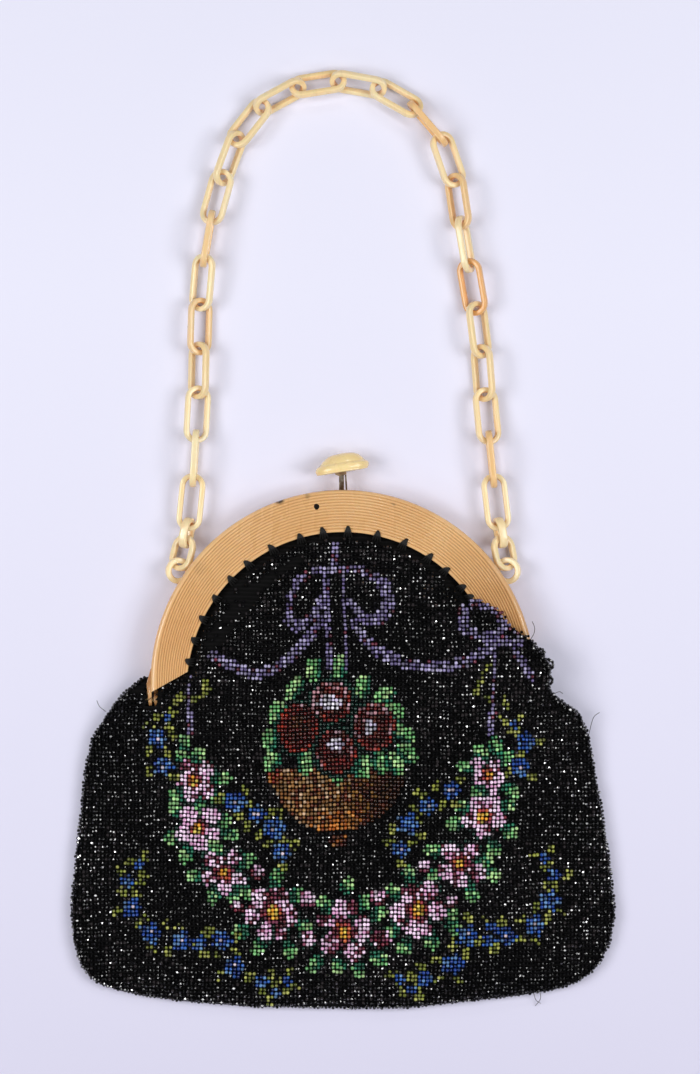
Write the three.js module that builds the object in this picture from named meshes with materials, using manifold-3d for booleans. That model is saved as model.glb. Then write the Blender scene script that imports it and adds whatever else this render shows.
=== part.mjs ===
// A beaded bag lying on its back: an arched celluloid frame, a link chain, a push clasp and a soft pouch.
// Millimetres, +Z up from the surface that it lies on, +Y from the pouch towards the top of the chain.
import * as THREE from "three";
import { mergeVertices } from "three/addons/utils/BufferGeometryUtils.js";
import Module from "manifold-3d";

const wasm = await Module();
wasm.setup();

// Clearance between neighbouring pieces
const GAP = 0.35;

// Frame: a crescent between an outer circle and a smaller mouth circle set lower
const ARCH_CENTRE_Y = -57;
const ARCH_RADIUS = 76.8;
const MOUTH_DROP = 2.3;
const MOUTH_RADIUS = 62.2;
const ARCH_STEPS = 26;
const MOUTH_END_DEG = 4;
const RIM_END_DEG = -3;
const FRAME_DEPTH = 13;
const PARTING_Z = 7.6;
const PARTING_GAP = 0.4;
const PLATE_THICK = 2.6;
const RIM_THICK = 2.5;
const RIM_ROUND = 1.8;
const RIM_LAND = 0.9;
const MOUTH_LAND = 0.9;
const MOUTH_EDGE_DROP = 0.5;
const GROOVE_COUNT = 13;
const GROOVE_DEPTH = 0.35;
const PLATE_PIT = { x: -10.5, y: 13.1, size: 2.2, depth: 1.5 };

// Hinge ears beyond the ends of the arch, with a pin along X
const HINGE_Y = -64.2;
const EAR_RADIUS = 2.6;
const EAR_ROOT_Y = -57.5;
const EAR_ROOT_HEIGHT = 4.4;
const EAR_THICK = 2;
const FRONT_EAR_X = 76.4;
const BACK_EAR_X = 74.1;
const PIN_RADIUS = 1.1;
const PIN_HEAD_RADIUS = 1.9;
const PIN_HEAD_THICK = 0.7;
const ROUND_SIDES = 12;

// Clasp: a knob on a flat stem that slides down through a notch at the top of the rim
const STEM = { left: -1.6, right: 0.45, bottom: 12, top: 26.25, thick: 1.8 };
const STRAND = { topX: 0.7, bottomX: 1.5, width: 0.7, thick: 0.8 };
const COLLAR = { left: -3.2, right: 1.4, bottom: 25.4, top: 26.25, thick: 2.6 };
const CATCH = { left: -4.5, right: 3.9, bottom: 11.5, top: 14.5, thick: 3.2 };
const KNOB_SEAT = { x: -0.3, y: 26.85 };
const KNOB_TILT_DEG = 9;
const KNOB_LEAN = 0.15;
const KNOB_FLATNESS = 0.6;
const KNOB_PROFILE = [
  { radius: 0, height: 0 },
  { radius: 9.2, height: 0.1 },
  { radius: 10.4, height: 0.7 },
  { radius: 10.8, height: 1.8 },
  { radius: 10.3, height: 3 },
  { radius: 9, height: 3.8 },
  { radius: 8.2, height: 4.8 },
  { radius: 6.4, height: 6.4 },
  { radius: 4, height: 7.3 },
  { radius: 0, height: 7.7 },
];

// Chain: outer length and width of each kind of link, and its wire across and through the link's plane
const LONG_LINK = { width: 10.4, wire: 2.2, depth: 2.6 };
const CONNECTOR = { length: 12.6, width: 9.4, wire: 2, depth: 3.2 };
const OVAL_RING = { length: 15, width: 11.2, wire: 2.3, depth: 2.4 };
const FRAME_RING = { length: 11.4, width: 11.4, wire: 2.3, depth: 2.2 };
const LINK_END_STEPS = 4;
const LINK_PLAY = 1.3;
const CHAIN_LIFT = 0.2;
const FRAME_RING_DEG = 34;
const FRAME_RING_OUT = 2.8;
const FRAME_RING_Z = 5.4;
const FRAME_RING_ROLL = 22;
const OVAL_RING_ROLL = -36;
const CONNECTOR_ROLL = { left: 72, right: 77 };

// The chain's way round, from the left ring of the frame to the right one
const CHAIN_WAY = [
  { x: -61.8, y: 6.6 },
  { x: -58.4, y: 51.4 },
  { x: -56.4, y: 105.4 },
  { x: -50.4, y: 138.4 },
  { x: -39, y: 167 },
  { x: -25.2, y: 178.4 },
  { x: -9.8, y: 183.43 },
  { x: 7.8, y: 183.13 },
  { x: 23.2, y: 176.6 },
  { x: 35.4, y: 166.2 },
  { x: 43, y: 151.8 },
  { x: 48.6, y: 119.8 },
  { x: 54.6, y: 84.6 },
  { x: 57.6, y: 50.2 },
  { x: 62.4, y: 6.6 },
];

// How far each long link is turned about the chain, in degrees from lying flat
const LONG_LINK_ROLLS = [
  -4, 90, 20, -44, 32, -32, -91, -20, 50, -27, 51, -29,
  49, -27, -90, -22, 44, -66, 24, -42, 44, -18, -90, -6,
];

// The links down the sides are pulled out further than those round the top, as a share of their mean pitch
const TAUTNESS = [
  { links: 7, share: 1.028 },
  { links: 8, share: 0.962 },
  { links: 9, share: 1.012 },
];

// Pouch: outline and height of each level, from the mouth down. A side that isn't given follows the arch.
const WALL = 2;
const POUCH_COLUMNS = 20;
const POUCH_ARCH_RADIUS = 70;
const POUCH_LEVELS = [
  { y: 9, crown: 11.8, leftEdge: 10, rightEdge: 10 },
  { y: 4, crown: 12.2, leftEdge: 10, rightEdge: 10 },
  { y: -1, crown: 12.8, leftEdge: 10, rightEdge: 10 },
  { y: -7, crown: 14, leftEdge: 10, rightEdge: 10.5 },
  { y: -15, crown: 15.4, leftEdge: 10, rightEdge: 11.5 },
  { y: -24, crown: 16.4, leftEdge: 10, rightEdge: 14 },
  { y: -33, crown: 17, leftEdge: 10, rightEdge: 15.8 },
  { y: -40, crown: 17.3, leftEdge: 10, right: 75.5, rightEdge: 16 },
  { y: -45, crown: 17.5, leftEdge: 10, right: 79.6, rightEdge: 15.8 },
  { y: -50, crown: 17.6, leftEdge: 9.5, right: 83.2, rightEdge: 15.8 },
  { y: -52.6, crown: 17.6, leftEdge: 9.3, right: 83, rightEdge: 15.7 },
  { y: -53.6, crown: 17.6, left: -77.8, leftEdge: 9.2, right: 83, rightEdge: 15.7 },
  { y: -56, crown: 17.6, left: -81.6, leftEdge: 9, right: 82.8, rightEdge: 15.6 },
  { y: -59, crown: 17.5, left: -85.4, leftEdge: 8.5, right: 82.2, rightEdge: 15.4 },
  { y: -63.4, crown: 17.4, left: -90, leftEdge: 7, right: 86, rightEdge: 14.6 },
  { y: -69, crown: 17.2, left: -94.4, leftEdge: 6, right: 94.8, rightEdge: 9.5 },
  { y: -79, crown: 16.6, left: -100.6, leftEdge: 5, right: 99, rightEdge: 6.4 },
  { y: -92, crown: 15.6, left: -104, leftEdge: 4.6, right: 101.2, rightEdge: 5 },
  { y: -108, crown: 14.6, left: -105.4, leftEdge: 4.4, right: 104.2, rightEdge: 4.8 },
  { y: -128, crown: 13.4, left: -107.8, leftEdge: 4.4, right: 107.2, rightEdge: 4.6 },
  { y: -150, crown: 12.4, left: -109.6, leftEdge: 4.4, right: 109.6, rightEdge: 4.4 },
  { y: -163, crown: 11.6, left: -108.2, leftEdge: 4.4, right: 107.2, rightEdge: 4.4 },
  { y: -172, crown: 10.6, left: -105.2, leftEdge: 4.4, right: 102.4, rightEdge: 4.4 },
  { y: -178, crown: 9.4, left: -100, leftEdge: 4.4, right: 94.8, rightEdge: 4.4 },
  { y: -182, crown: 8, left: -89, leftEdge: 4.4, right: 82, rightEdge: 4.4 },
  { y: -185.6, crown: 6.4, left: -66, leftEdge: 4.4, right: 49, rightEdge: 4.4 },
  { y: -188.6, crown: 5, left: -24, leftEdge: 4.4, right: 22, rightEdge: 4.4 },
];
const CROWN_FULLNESS = 3.4;
const SIDE_TUCK = 1.6;
const BELLY_Y = -150;
const MOST_SIDE_WALL = 6;

// Folds of the front: a ridge, or a valley where the height is negative, along a line
const FOLDS = [
  { fromX: -52, fromY: -42, toX: -40, toY: -22, width: 6, height: -2.4 },
  { fromX: -40, fromY: -22, toX: -17, toY: -8, width: 5, height: -2 },
  { fromX: 19, fromY: -9, toX: 36, toY: -15, width: 4, height: -1.6 },
  { fromX: 50, fromY: -28, toX: 66, toY: -52, width: 9, height: 1.4 },
  { fromX: -74, fromY: -74, toX: -48, toY: -100, width: 9, height: 1.2 },
  { fromX: 70, fromY: -76, toX: 52, toY: -104, width: 9, height: 1.2 },
  { fromX: -92, fromY: -120, toX: -64, toY: -170, width: 8, height: -1 },
  { fromX: 92, fromY: -118, toX: 66, toY: -168, width: 8, height: -1 },
];

// Where the cloth laps over the right end of the frame's face
const LAP_EDGE = [
  { x: 50, y: -20.5 },
  { x: 62.8, y: -27 },
  { x: 75.5, y: -39 },
];
const LAP_FAR_X = 95;
const LAP_LOW_Y = -80;

const FRAME_COLOUR = "#d8a86e";
const CHAIN_COLOUR = "#ecd09a";
const KNOB_COLOUR = "#f0d49a";
const METAL_COLOUR = "#8a8378";
const PIN_COLOUR = "#a5905e";
const CLOTH_COLOUR = "#1b1a20";

const radians = THREE.MathUtils.degToRad;
const mix = THREE.MathUtils.lerp;

const bag = new THREE.Group();

function addPiece(name, geometry, colour, roughness, metalness, parent = bag) {
  const material = new THREE.MeshStandardMaterial({ color: colour, roughness, metalness });
  const mesh = new THREE.Mesh(geometry, material);
  mesh.name = name;
  parent.add(mesh);
  return mesh;
}

// Solids for joining and cutting
function solidFrom(geometry) {
  const bare = geometry.clone();
  bare.deleteAttribute("normal");
  bare.deleteAttribute("uv");
  const merged = mergeVertices(bare, 1e-4);
  const vertProperties = new Float32Array(merged.attributes.position.array);
  const triVerts = new Uint32Array(merged.index.array);
  return new wasm.Manifold(new wasm.Mesh({ numProp: 3, vertProperties, triVerts }));
}

function geometryFrom(solid) {
  const mesh = solid.getMesh();
  const geometry = new THREE.BufferGeometry();
  geometry.setAttribute("position", new THREE.BufferAttribute(new Float32Array(mesh.vertProperties), 3));
  geometry.setIndex(new THREE.BufferAttribute(new Uint32Array(mesh.triVerts), 1));
  geometry.computeVertexNormals();
  return geometry;
}

function boxBetween(low, high) {
  const size = new THREE.Vector3().subVectors(high, low);
  const middle = new THREE.Vector3().addVectors(low, high).multiplyScalar(0.5);
  return new THREE.BoxGeometry(size.x, size.y, size.z).translate(middle.x, middle.y, middle.z);
}

function slab(span, middleZ) {
  const low = new THREE.Vector3(span.left, span.bottom, middleZ - span.thick / 2);
  const high = new THREE.Vector3(span.right, span.top, middleZ + span.thick / 2);
  return boxBetween(low, high);
}

// Turns every triangle round if the skin faces inwards
function facingOut(geometry) {
  const corners = geometry.attributes.position;
  const index = geometry.index.array;
  const [a, b, c] = [new THREE.Vector3(), new THREE.Vector3(), new THREE.Vector3()];
  let volume = 0;
  for (let i = 0; i < index.length; i += 3) {
    a.fromBufferAttribute(corners, index[i]);
    b.fromBufferAttribute(corners, index[i + 1]);
    c.fromBufferAttribute(corners, index[i + 2]);
    volume += a.dot(b.cross(c)) / 6;
  }
  if (volume < 0) {
    index.reverse();
  }
  geometry.computeVertexNormals();
  return geometry;
}

// Triangles that close a ring, named by its points in order; outline is the ring drawn flat
function capTriangles(outline) {
  const triangles = THREE.ShapeUtils.triangulateShape(outline, []);
  const turned = THREE.ShapeUtils.isClockWise(outline);
  return triangles.map((triangle) => (turned ? triangle.reverse() : triangle));
}

// A closed skin over rings of points that all have the same count. An open row of rings gets flat caps.
function skinOver(rings, flatOutline) {
  const count = rings[0].length;
  const lastStart = (rings.length - 1) * count;
  const spans = flatOutline ? rings.length - 1 : rings.length;
  const index = [];
  for (let row = 0; row < spans; row++) {
    const here = row * count;
    const next = ((row + 1) % rings.length) * count;
    for (let i = 0; i < count; i++) {
      const j = (i + 1) % count;
      index.push(here + i, here + j, next + j);
      index.push(here + i, next + j, next + i);
    }
  }
  if (flatOutline) {
    for (const [a, b, c] of capTriangles(flatOutline(rings[0]))) {
      index.push(c, b, a);
    }
    for (const [a, b, c] of capTriangles(flatOutline(rings.at(-1)))) {
      index.push(lastStart + a, lastStart + b, lastStart + c);
    }
  }
  const geometry = new THREE.BufferGeometry().setFromPoints(rings.flat());
  geometry.setIndex(index);
  return facingOut(geometry);
}

// Frame
function mouthPoint(angle, inset = 0) {
  const drop = MOUTH_DROP * Math.sin(angle);
  const across = MOUTH_DROP * Math.cos(angle);
  const reach = Math.sqrt((MOUTH_RADIUS - inset) ** 2 - across ** 2) - drop;
  return new THREE.Vector2(reach * Math.cos(angle), ARCH_CENTRE_Y + reach * Math.sin(angle));
}

function rimPoint(angle, radius = ARCH_RADIUS) {
  return new THREE.Vector2(radius * Math.cos(angle), ARCH_CENTRE_Y + radius * Math.sin(angle));
}

// Section of a frame half: distance in from the rim, and height, for a band of the given width
function bandSection(width, rimFoot) {
  const top = FRAME_DEPTH;
  const section = [
    { inward: 0, z: rimFoot },
    { inward: 0, z: top - RIM_ROUND },
    { inward: 0.3 * RIM_ROUND, z: top - 0.3 * RIM_ROUND },
  ];
  const start = RIM_ROUND;
  const pitch = (width - MOUTH_LAND - start - RIM_LAND) / GROOVE_COUNT;
  section.push({ inward: start, z: top });
  for (let i = 0; i < GROOVE_COUNT; i++) {
    const ridge = start + RIM_LAND + i * pitch;
    section.push({ inward: ridge, z: top });
    section.push({ inward: ridge + pitch / 2, z: top - GROOVE_DEPTH });
  }
  section.push({ inward: width - MOUTH_LAND, z: top });
  section.push({ inward: width, z: top - MOUTH_EDGE_DROP });
  section.push({ inward: width, z: top - PLATE_THICK });
  section.push({ inward: RIM_THICK, z: top - PLATE_THICK });
  section.push({ inward: RIM_THICK, z: rimFoot });
  return section;
}

function frameBand(rimFoot) {
  const rings = [];
  let capShape;
  for (let step = 0; step <= ARCH_STEPS; step++) {
    const part = step / ARCH_STEPS;
    const rim = rimPoint(radians(mix(RIM_END_DEG, 180 - RIM_END_DEG, part)));
    const mouth = mouthPoint(radians(mix(MOUTH_END_DEG, 180 - MOUTH_END_DEG, part)));
    const width = rim.distanceTo(mouth);
    const section = bandSection(width, rimFoot);
    capShape = section.map(({ inward, z }) => new THREE.Vector2(inward, z));
    rings.push(
      section.map(({ inward, z }) => {
        const place = rim.clone().lerp(mouth, inward / width);
        return new THREE.Vector3(place.x, place.y, z);
      }),
    );
  }
  return skinOver(rings, () => capShape);
}

// The front half's ear, in the plane of Y and Z, before it is set out along X.
// Grown, it is the room that the ear needs, which reaches down to the underside of the hinge.
function earOutline(grow) {
  const outline = new THREE.Shape();
  const radius = EAR_RADIUS + grow;
  const rootFoot = PARTING_Z + PARTING_GAP / 2;
  const rootTop = rootFoot + EAR_ROOT_HEIGHT + grow;
  const foot = grow > 0 ? PARTING_Z - radius : rootFoot;
  const roundEnd = grow > 0 ? 1.5 * Math.PI : 2 * Math.PI;
  outline.moveTo(EAR_ROOT_Y + grow, foot);
  outline.lineTo(EAR_ROOT_Y + grow, rootTop);
  outline.lineTo(HINGE_Y, PARTING_Z + radius);
  outline.absarc(HINGE_Y, PARTING_Z, radius, Math.PI / 2, roundEnd, false);
  outline.lineTo(HINGE_Y + radius + GAP, foot);
  if (grow === 0) {
    const bore = new THREE.Path();
    bore.absarc(HINGE_Y, PARTING_Z, PIN_RADIUS + GAP, 0, 2 * Math.PI, true);
    outline.holes.push(bore);
  }
  return outline;
}

function ear(innerX, side, grow = 0) {
  const geometry = new THREE.ExtrudeGeometry(earOutline(grow), {
    depth: EAR_THICK + 2 * grow,
    bevelEnabled: false,
    curveSegments: ROUND_SIDES,
  });
  const alongX = new THREE.Vector3(1, 0, 0);
  const alongY = new THREE.Vector3(0, 1, 0);
  const alongZ = new THREE.Vector3(0, 0, 1);
  geometry.applyMatrix4(new THREE.Matrix4().makeBasis(alongY, alongZ, alongX));
  return geometry.translate(side > 0 ? innerX - grow : -innerX - EAR_THICK - grow, 0, 0);
}

// Turns a shape of the front half over, for the back half
function turnedOver(geometry, mirrorZ) {
  const bare = geometry.clone();
  bare.deleteAttribute("normal");
  bare.deleteAttribute("uv");
  const flipped = mergeVertices(bare, 1e-4).scale(1, 1, -1);
  return facingOut(flipped).translate(0, 0, mirrorZ);
}

// Chain
function linkGeometry({ length, width, wire, depth }, grow = 0) {
  const endRadius = (width - wire) / 2;
  const straight = (length - width) / 2;
  const halfWire = wire / 2 + grow;
  const halfDepth = depth / 2 + grow;
  const section = [
    { out: halfWire, up: 0.55 * halfDepth },
    { out: 0, up: halfDepth },
    { out: -halfWire, up: 0.55 * halfDepth },
    { out: -halfWire, up: -0.55 * halfDepth },
    { out: 0, up: -halfDepth },
    { out: halfWire, up: -0.55 * halfDepth },
  ];
  const rings = [];
  for (const end of [1, -1]) {
    for (let step = 0; step <= LINK_END_STEPS; step++) {
      const angle = end * Math.PI / 2 - Math.PI / 2 + (step / LINK_END_STEPS) * Math.PI;
      rings.push(
        section.map(({ out, up }) => {
          const reach = endRadius + out;
          return new THREE.Vector3(reach * Math.cos(angle), end * straight + reach * Math.sin(angle), up);
        }),
      );
    }
  }
  return skinOver(rings);
}

// A link lies along local Y: it is set between two joints of the chain and turned about its own length
function placeLink(mesh, from, to, rollDeg) {
  const along = new THREE.Vector3().subVectors(to, from).normalize();
  const across = new THREE.Vector3().crossVectors(along, new THREE.Vector3(0, 0, 1)).normalize();
  const up = new THREE.Vector3().crossVectors(across, along);
  const lying = new THREE.Matrix4().makeBasis(across, along, up);
  mesh.quaternion.setFromRotationMatrix(lying.multiply(new THREE.Matrix4().makeRotationY(radians(rollDeg))));
  mesh.position.addVectors(from, to).multiplyScalar(0.5);
}

function linkPitch({ length, wire }) {
  return length - 2 * wire - LINK_PLAY;
}

// The height at which the middle of a rolled link clears the surface below
function restHeight({ width, wire, depth }, rollDeg) {
  const roll = radians(rollDeg);
  const sideRadius = (width - wire) / 2;
  const wireReach = Math.hypot((wire / 2) * Math.sin(roll), (depth / 2) * Math.cos(roll));
  return sideRadius * Math.abs(Math.sin(roll)) + wireReach;
}

function frameRingCentre(side) {
  const angle = side > 0 ? radians(FRAME_RING_DEG) : radians(180 - FRAME_RING_DEG);
  const place = rimPoint(angle, ARCH_RADIUS + FRAME_RING_OUT);
  return new THREE.Vector3(place.x, place.y, FRAME_RING_Z);
}

const ringCentres = { left: frameRingCentre(-1), right: frameRingCentre(1) };

// The joint where a frame ring carries the oval ring, on the side that the chain leaves by
function ringJoint(centre, towards) {
  const along = new THREE.Vector3(towards.x - centre.x, towards.y - centre.y, 0).normalize();
  const reach = linkPitch(FRAME_RING) / 2;
  return centre.clone().addScaledVector(along, reach);
}

const firstJoint = ringJoint(ringCentres.left, CHAIN_WAY[0]);
const lastJoint = ringJoint(ringCentres.right, CHAIN_WAY.at(-1));
const wayPoints = CHAIN_WAY.map(({ x, y }) => new THREE.Vector3(x, y, 0));
const chainWay = new THREE.CatmullRomCurve3([
  firstJoint.clone().setZ(0),
  ...wayPoints,
  lastJoint.clone().setZ(0),
]);
chainWay.arcLengthDivisions = 2000;

const endsLength = 2 * (linkPitch(OVAL_RING) + linkPitch(CONNECTOR));
const longWay = chainWay.getLength() - endsLength;
const longShares = TAUTNESS.flatMap(({ links, share }) => Array(links).fill(share));
const shareTotal = longShares.reduce((sum, share) => sum + share, 0);
const longPitches = longShares.map((share) => (longWay * share) / shareTotal);
const longLink = { ...LONG_LINK, length: Math.max(...longPitches) + 2 * LONG_LINK.wire + LINK_PLAY };

const chain = [
  { name: "oval_ring_left", kind: OVAL_RING, roll: OVAL_RING_ROLL, pitch: linkPitch(OVAL_RING) },
  { name: "connector_left", kind: CONNECTOR, roll: CONNECTOR_ROLL.left, pitch: linkPitch(CONNECTOR) },
  ...LONG_LINK_ROLLS.map((roll, i) => ({
    name: "link_" + String(i + 1).padStart(2, "0"),
    kind: longLink,
    roll,
    pitch: longPitches[i],
  })),
  { name: "connector_right", kind: CONNECTOR, roll: CONNECTOR_ROLL.right, pitch: linkPitch(CONNECTOR) },
  { name: "oval_ring_right", kind: OVAL_RING, roll: OVAL_RING_ROLL, pitch: linkPitch(OVAL_RING) },
];

// Each joint lies as high as the higher of its two links needs
function chainJoints() {
  const total = chainWay.getLength();
  const joints = [firstJoint];
  let travelled = 0;
  for (let i = 0; i < chain.length - 1; i++) {
    travelled += chain[i].pitch;
    const place = chainWay.getPointAt(travelled / total);
    const here = restHeight(chain[i].kind, chain[i].roll);
    const next = restHeight(chain[i + 1].kind, chain[i + 1].roll);
    joints.push(place.setZ(Math.max(here, next) + CHAIN_LIFT));
  }
  joints.push(lastJoint);
  return joints;
}

const joints = chainJoints();
chain.forEach(({ name, kind, roll }, i) => {
  const mesh = addPiece(name, linkGeometry(kind), CHAIN_COLOUR, 0.3, 0);
  placeLink(mesh, joints[i], joints[i + 1], roll);
});

// The rings through the rim lie towards the chain, turned so that the side in the frame is the lower one
function frameRing(centre, joint, roll, grow = 0) {
  const mesh = new THREE.Mesh(linkGeometry(FRAME_RING, grow));
  const opposite = centre.clone().multiplyScalar(2).sub(joint);
  placeLink(mesh, opposite, joint, roll);
  mesh.updateMatrix();
  return mesh;
}

const ringPaths = [];
for (const [side, joint, sign] of [["left", firstJoint, 1], ["right", lastJoint, -1]]) {
  const placed = frameRing(ringCentres[side], joint, sign * FRAME_RING_ROLL);
  const mesh = addPiece("frame_ring_" + side, placed.geometry, CHAIN_COLOUR, 0.3, 0);
  mesh.position.copy(placed.position);
  mesh.quaternion.copy(placed.quaternion);
  const path = frameRing(ringCentres[side], joint, sign * FRAME_RING_ROLL, GAP);
  ringPaths.push(solidFrom(path.geometry.applyMatrix4(path.matrix)));
}

// Frame halves, with the notch for the stem, the rings' ways through the rim and the small pit in the face
const frontFoot = PARTING_Z + PARTING_GAP / 2;
const backFoot = FRAME_DEPTH - (PARTING_Z - PARTING_GAP / 2);
const stemNotch = solidFrom(
  slab(
    {
      left: STEM.left - GAP,
      right: STRAND.bottomX + STRAND.width + GAP,
      bottom: ARCH_CENTRE_Y + ARCH_RADIUS - 2 * RIM_THICK,
      top: ARCH_CENTRE_Y + ARCH_RADIUS + RIM_THICK,
      thick: STEM.thick + 2 * GAP,
    },
    PARTING_Z,
  ),
);
const platePit = solidFrom(
  slab(
    {
      left: PLATE_PIT.x - PLATE_PIT.size / 2,
      right: PLATE_PIT.x + PLATE_PIT.size / 2,
      bottom: PLATE_PIT.y - PLATE_PIT.size / 2,
      top: PLATE_PIT.y + PLATE_PIT.size / 2,
      thick: 2 * PLATE_PIT.depth,
    },
    FRAME_DEPTH,
  ),
);

function frameHalf(band, ears) {
  let solid = solidFrom(band);
  for (const piece of ears) {
    solid = solid.add(solidFrom(piece));
  }
  for (const path of ringPaths) {
    solid = solid.subtract(path);
  }
  return solid.subtract(stemNotch);
}

const frontEars = [ear(FRONT_EAR_X, -1), ear(FRONT_EAR_X, 1)];
const frontHalf = frameHalf(frameBand(frontFoot), frontEars).subtract(platePit);
addPiece("frame_front", geometryFrom(frontHalf), FRAME_COLOUR, 0.35, 0);

const backEars = [ear(BACK_EAR_X, -1), ear(BACK_EAR_X, 1)].map((piece) => turnedOver(piece, 2 * PARTING_Z));
const backHalf = frameHalf(turnedOver(frameBand(backFoot), FRAME_DEPTH), backEars);
addPiece("frame_back", geometryFrom(backHalf), FRAME_COLOUR, 0.35, 0);

// Hinge pins, headed at both ends, set along X
function hingePin(side) {
  const halfLength = (FRONT_EAR_X + EAR_THICK - BACK_EAR_X) / 2 + GAP;
  const profile = [
    new THREE.Vector2(0, -halfLength - PIN_HEAD_THICK),
    new THREE.Vector2(PIN_HEAD_RADIUS, -halfLength - PIN_HEAD_THICK),
    new THREE.Vector2(PIN_HEAD_RADIUS, -halfLength),
    new THREE.Vector2(PIN_RADIUS, -halfLength),
    new THREE.Vector2(PIN_RADIUS, halfLength),
    new THREE.Vector2(PIN_HEAD_RADIUS, halfLength),
    new THREE.Vector2(PIN_HEAD_RADIUS, halfLength + PIN_HEAD_THICK),
    new THREE.Vector2(0, halfLength + PIN_HEAD_THICK),
  ];
  const middleX = (side * (BACK_EAR_X + FRONT_EAR_X + EAR_THICK)) / 2;
  return new THREE.LatheGeometry(profile, ROUND_SIDES)
    .rotateZ(Math.PI / 2)
    .translate(middleX, HINGE_Y, PARTING_Z);
}

addPiece("hinge_pin_left", hingePin(-1), PIN_COLOUR, 0.4, 0.9);
addPiece("hinge_pin_right", hingePin(1), PIN_COLOUR, 0.4, 0.9);

// Clasp
const clasp = new THREE.Group();
clasp.position.z = PARTING_Z;
bag.add(clasp);

function strandGeometry() {
  const outline = new THREE.Shape();
  outline.moveTo(STRAND.bottomX, CATCH.bottom + GAP);
  outline.lineTo(STRAND.bottomX + STRAND.width, CATCH.bottom + GAP);
  outline.lineTo(STRAND.topX + STRAND.width, COLLAR.top - GAP);
  outline.lineTo(STRAND.topX, COLLAR.top - GAP);
  const geometry = new THREE.ExtrudeGeometry(outline, { depth: STRAND.thick, bevelEnabled: false });
  return geometry.translate(0, 0, -STRAND.thick / 2);
}

const stem = solidFrom(slab(STEM, 0))
  .add(solidFrom(slab(COLLAR, 0)))
  .add(solidFrom(slab(CATCH, 0)))
  .add(solidFrom(strandGeometry()));
addPiece("clasp_stem", geometryFrom(stem), METAL_COLOUR, 0.45, 0.9, clasp);

function knobGeometry() {
  const profile = KNOB_PROFILE.map(({ radius, height }) => new THREE.Vector2(radius, height));
  const lean = new THREE.Matrix4().makeShear(0, 0, KNOB_LEAN, 0, 0, 0);
  return new THREE.LatheGeometry(profile, 2 * ROUND_SIDES)
    .scale(1, 1, KNOB_FLATNESS)
    .applyMatrix4(lean);
}

const knob = addPiece("clasp_knob", knobGeometry(), KNOB_COLOUR, 0.25, 0, clasp);
knob.rotation.z = radians(KNOB_TILT_DEG);
knob.position.set(KNOB_SEAT.x, KNOB_SEAT.y, 0);

// Pouch
function foldsAt(x, y) {
  let height = 0;
  for (const fold of FOLDS) {
    const alongX = fold.toX - fold.fromX;
    const alongY = fold.toY - fold.fromY;
    const lengthSquared = alongX ** 2 + alongY ** 2;
    const part = ((x - fold.fromX) * alongX + (y - fold.fromY) * alongY) / lengthSquared;
    const nearest = THREE.MathUtils.clamp(part, 0, 1);
    const away = Math.hypot(x - fold.fromX - nearest * alongX, y - fold.fromY - nearest * alongY);
    height += fold.height * Math.exp(-((away / fold.width) ** 2));
  }
  return height;
}

function archHalfWidth(y) {
  return Math.sqrt(POUCH_ARCH_RADIUS ** 2 - (y - ARCH_CENTRE_Y) ** 2);
}

const pouchLevels = POUCH_LEVELS.map((level) => ({
  ...level,
  left: level.left ?? -archHalfWidth(level.y),
  right: level.right ?? archHalfWidth(level.y),
}));

// How far a wall of even thickness reaches in along X where the outline slants
function sideWall(row, side) {
  const above = pouchLevels[Math.max(row - 1, 0)];
  const below = pouchLevels[Math.min(row + 1, pouchLevels.length - 1)];
  const slant = (above[side] - below[side]) / (above.y - below.y);
  return Math.min(WALL * Math.hypot(1, slant), MOST_SIDE_WALL);
}

// One level of the pouch, drawn in by the wall's thickness for the hollow
function pouchRing(row, wall) {
  const level = pouchLevels[row];
  const left = level.left + (wall ? sideWall(row, "left") : 0);
  const right = level.right - (wall ? sideWall(row, "right") : 0);
  const y = level.y + (level.y < BELLY_Y ? wall : 0);
  const ring = [new THREE.Vector3(left + SIDE_TUCK, y, wall)];
  ring.push(new THREE.Vector3(left, y, mix(wall, level.leftEdge - wall, 0.5)));
  for (let column = 0; column <= POUCH_COLUMNS; column++) {
    const spread = Math.sin((column / POUCH_COLUMNS - 0.5) * Math.PI);
    const x = mix(left + SIDE_TUCK / 2, right - SIDE_TUCK / 2, (spread + 1) / 2);
    const edge = mix(level.leftEdge, level.rightEdge, (spread + 1) / 2);
    const dome = 1 - Math.abs(spread) ** CROWN_FULLNESS;
    const height = edge + (level.crown - edge + foldsAt(x, level.y)) * dome;
    ring.push(new THREE.Vector3(x, y, height - wall));
  }
  ring.push(new THREE.Vector3(right, y, mix(wall, level.rightEdge - wall, 0.5)));
  ring.push(new THREE.Vector3(right - SIDE_TUCK, y, wall));
  return ring;
}

function pouchForm(wall) {
  const rings = pouchLevels.map((level, row) => pouchRing(row, wall));
  return skinOver(rings, (ring) => ring.map(({ x, z }) => new THREE.Vector2(x, z)));
}

// The room that a pin's head takes beside the ears
function pinHeadRoom(side) {
  const reach = PIN_HEAD_RADIUS + GAP;
  const inner = side * (BACK_EAR_X - PIN_HEAD_THICK - 2 * GAP);
  const outer = side * (FRONT_EAR_X + EAR_THICK + PIN_HEAD_THICK + 2 * GAP);
  const low = new THREE.Vector3(Math.min(inner, outer), HINGE_Y - reach, PARTING_Z - reach);
  const high = new THREE.Vector3(Math.max(inner, outer), HINGE_Y + reach, PARTING_Z + reach);
  return solidFrom(boxBetween(low, high));
}

// The room that the hinge takes out of the pouch, so that the cloth follows the ears closely
function hingeRoom(side) {
  return solidFrom(ear(FRONT_EAR_X, side, GAP))
    .add(solidFrom(turnedOver(ear(BACK_EAR_X, side, GAP), 2 * PARTING_Z)))
    .add(pinHeadRoom(side));
}

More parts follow.
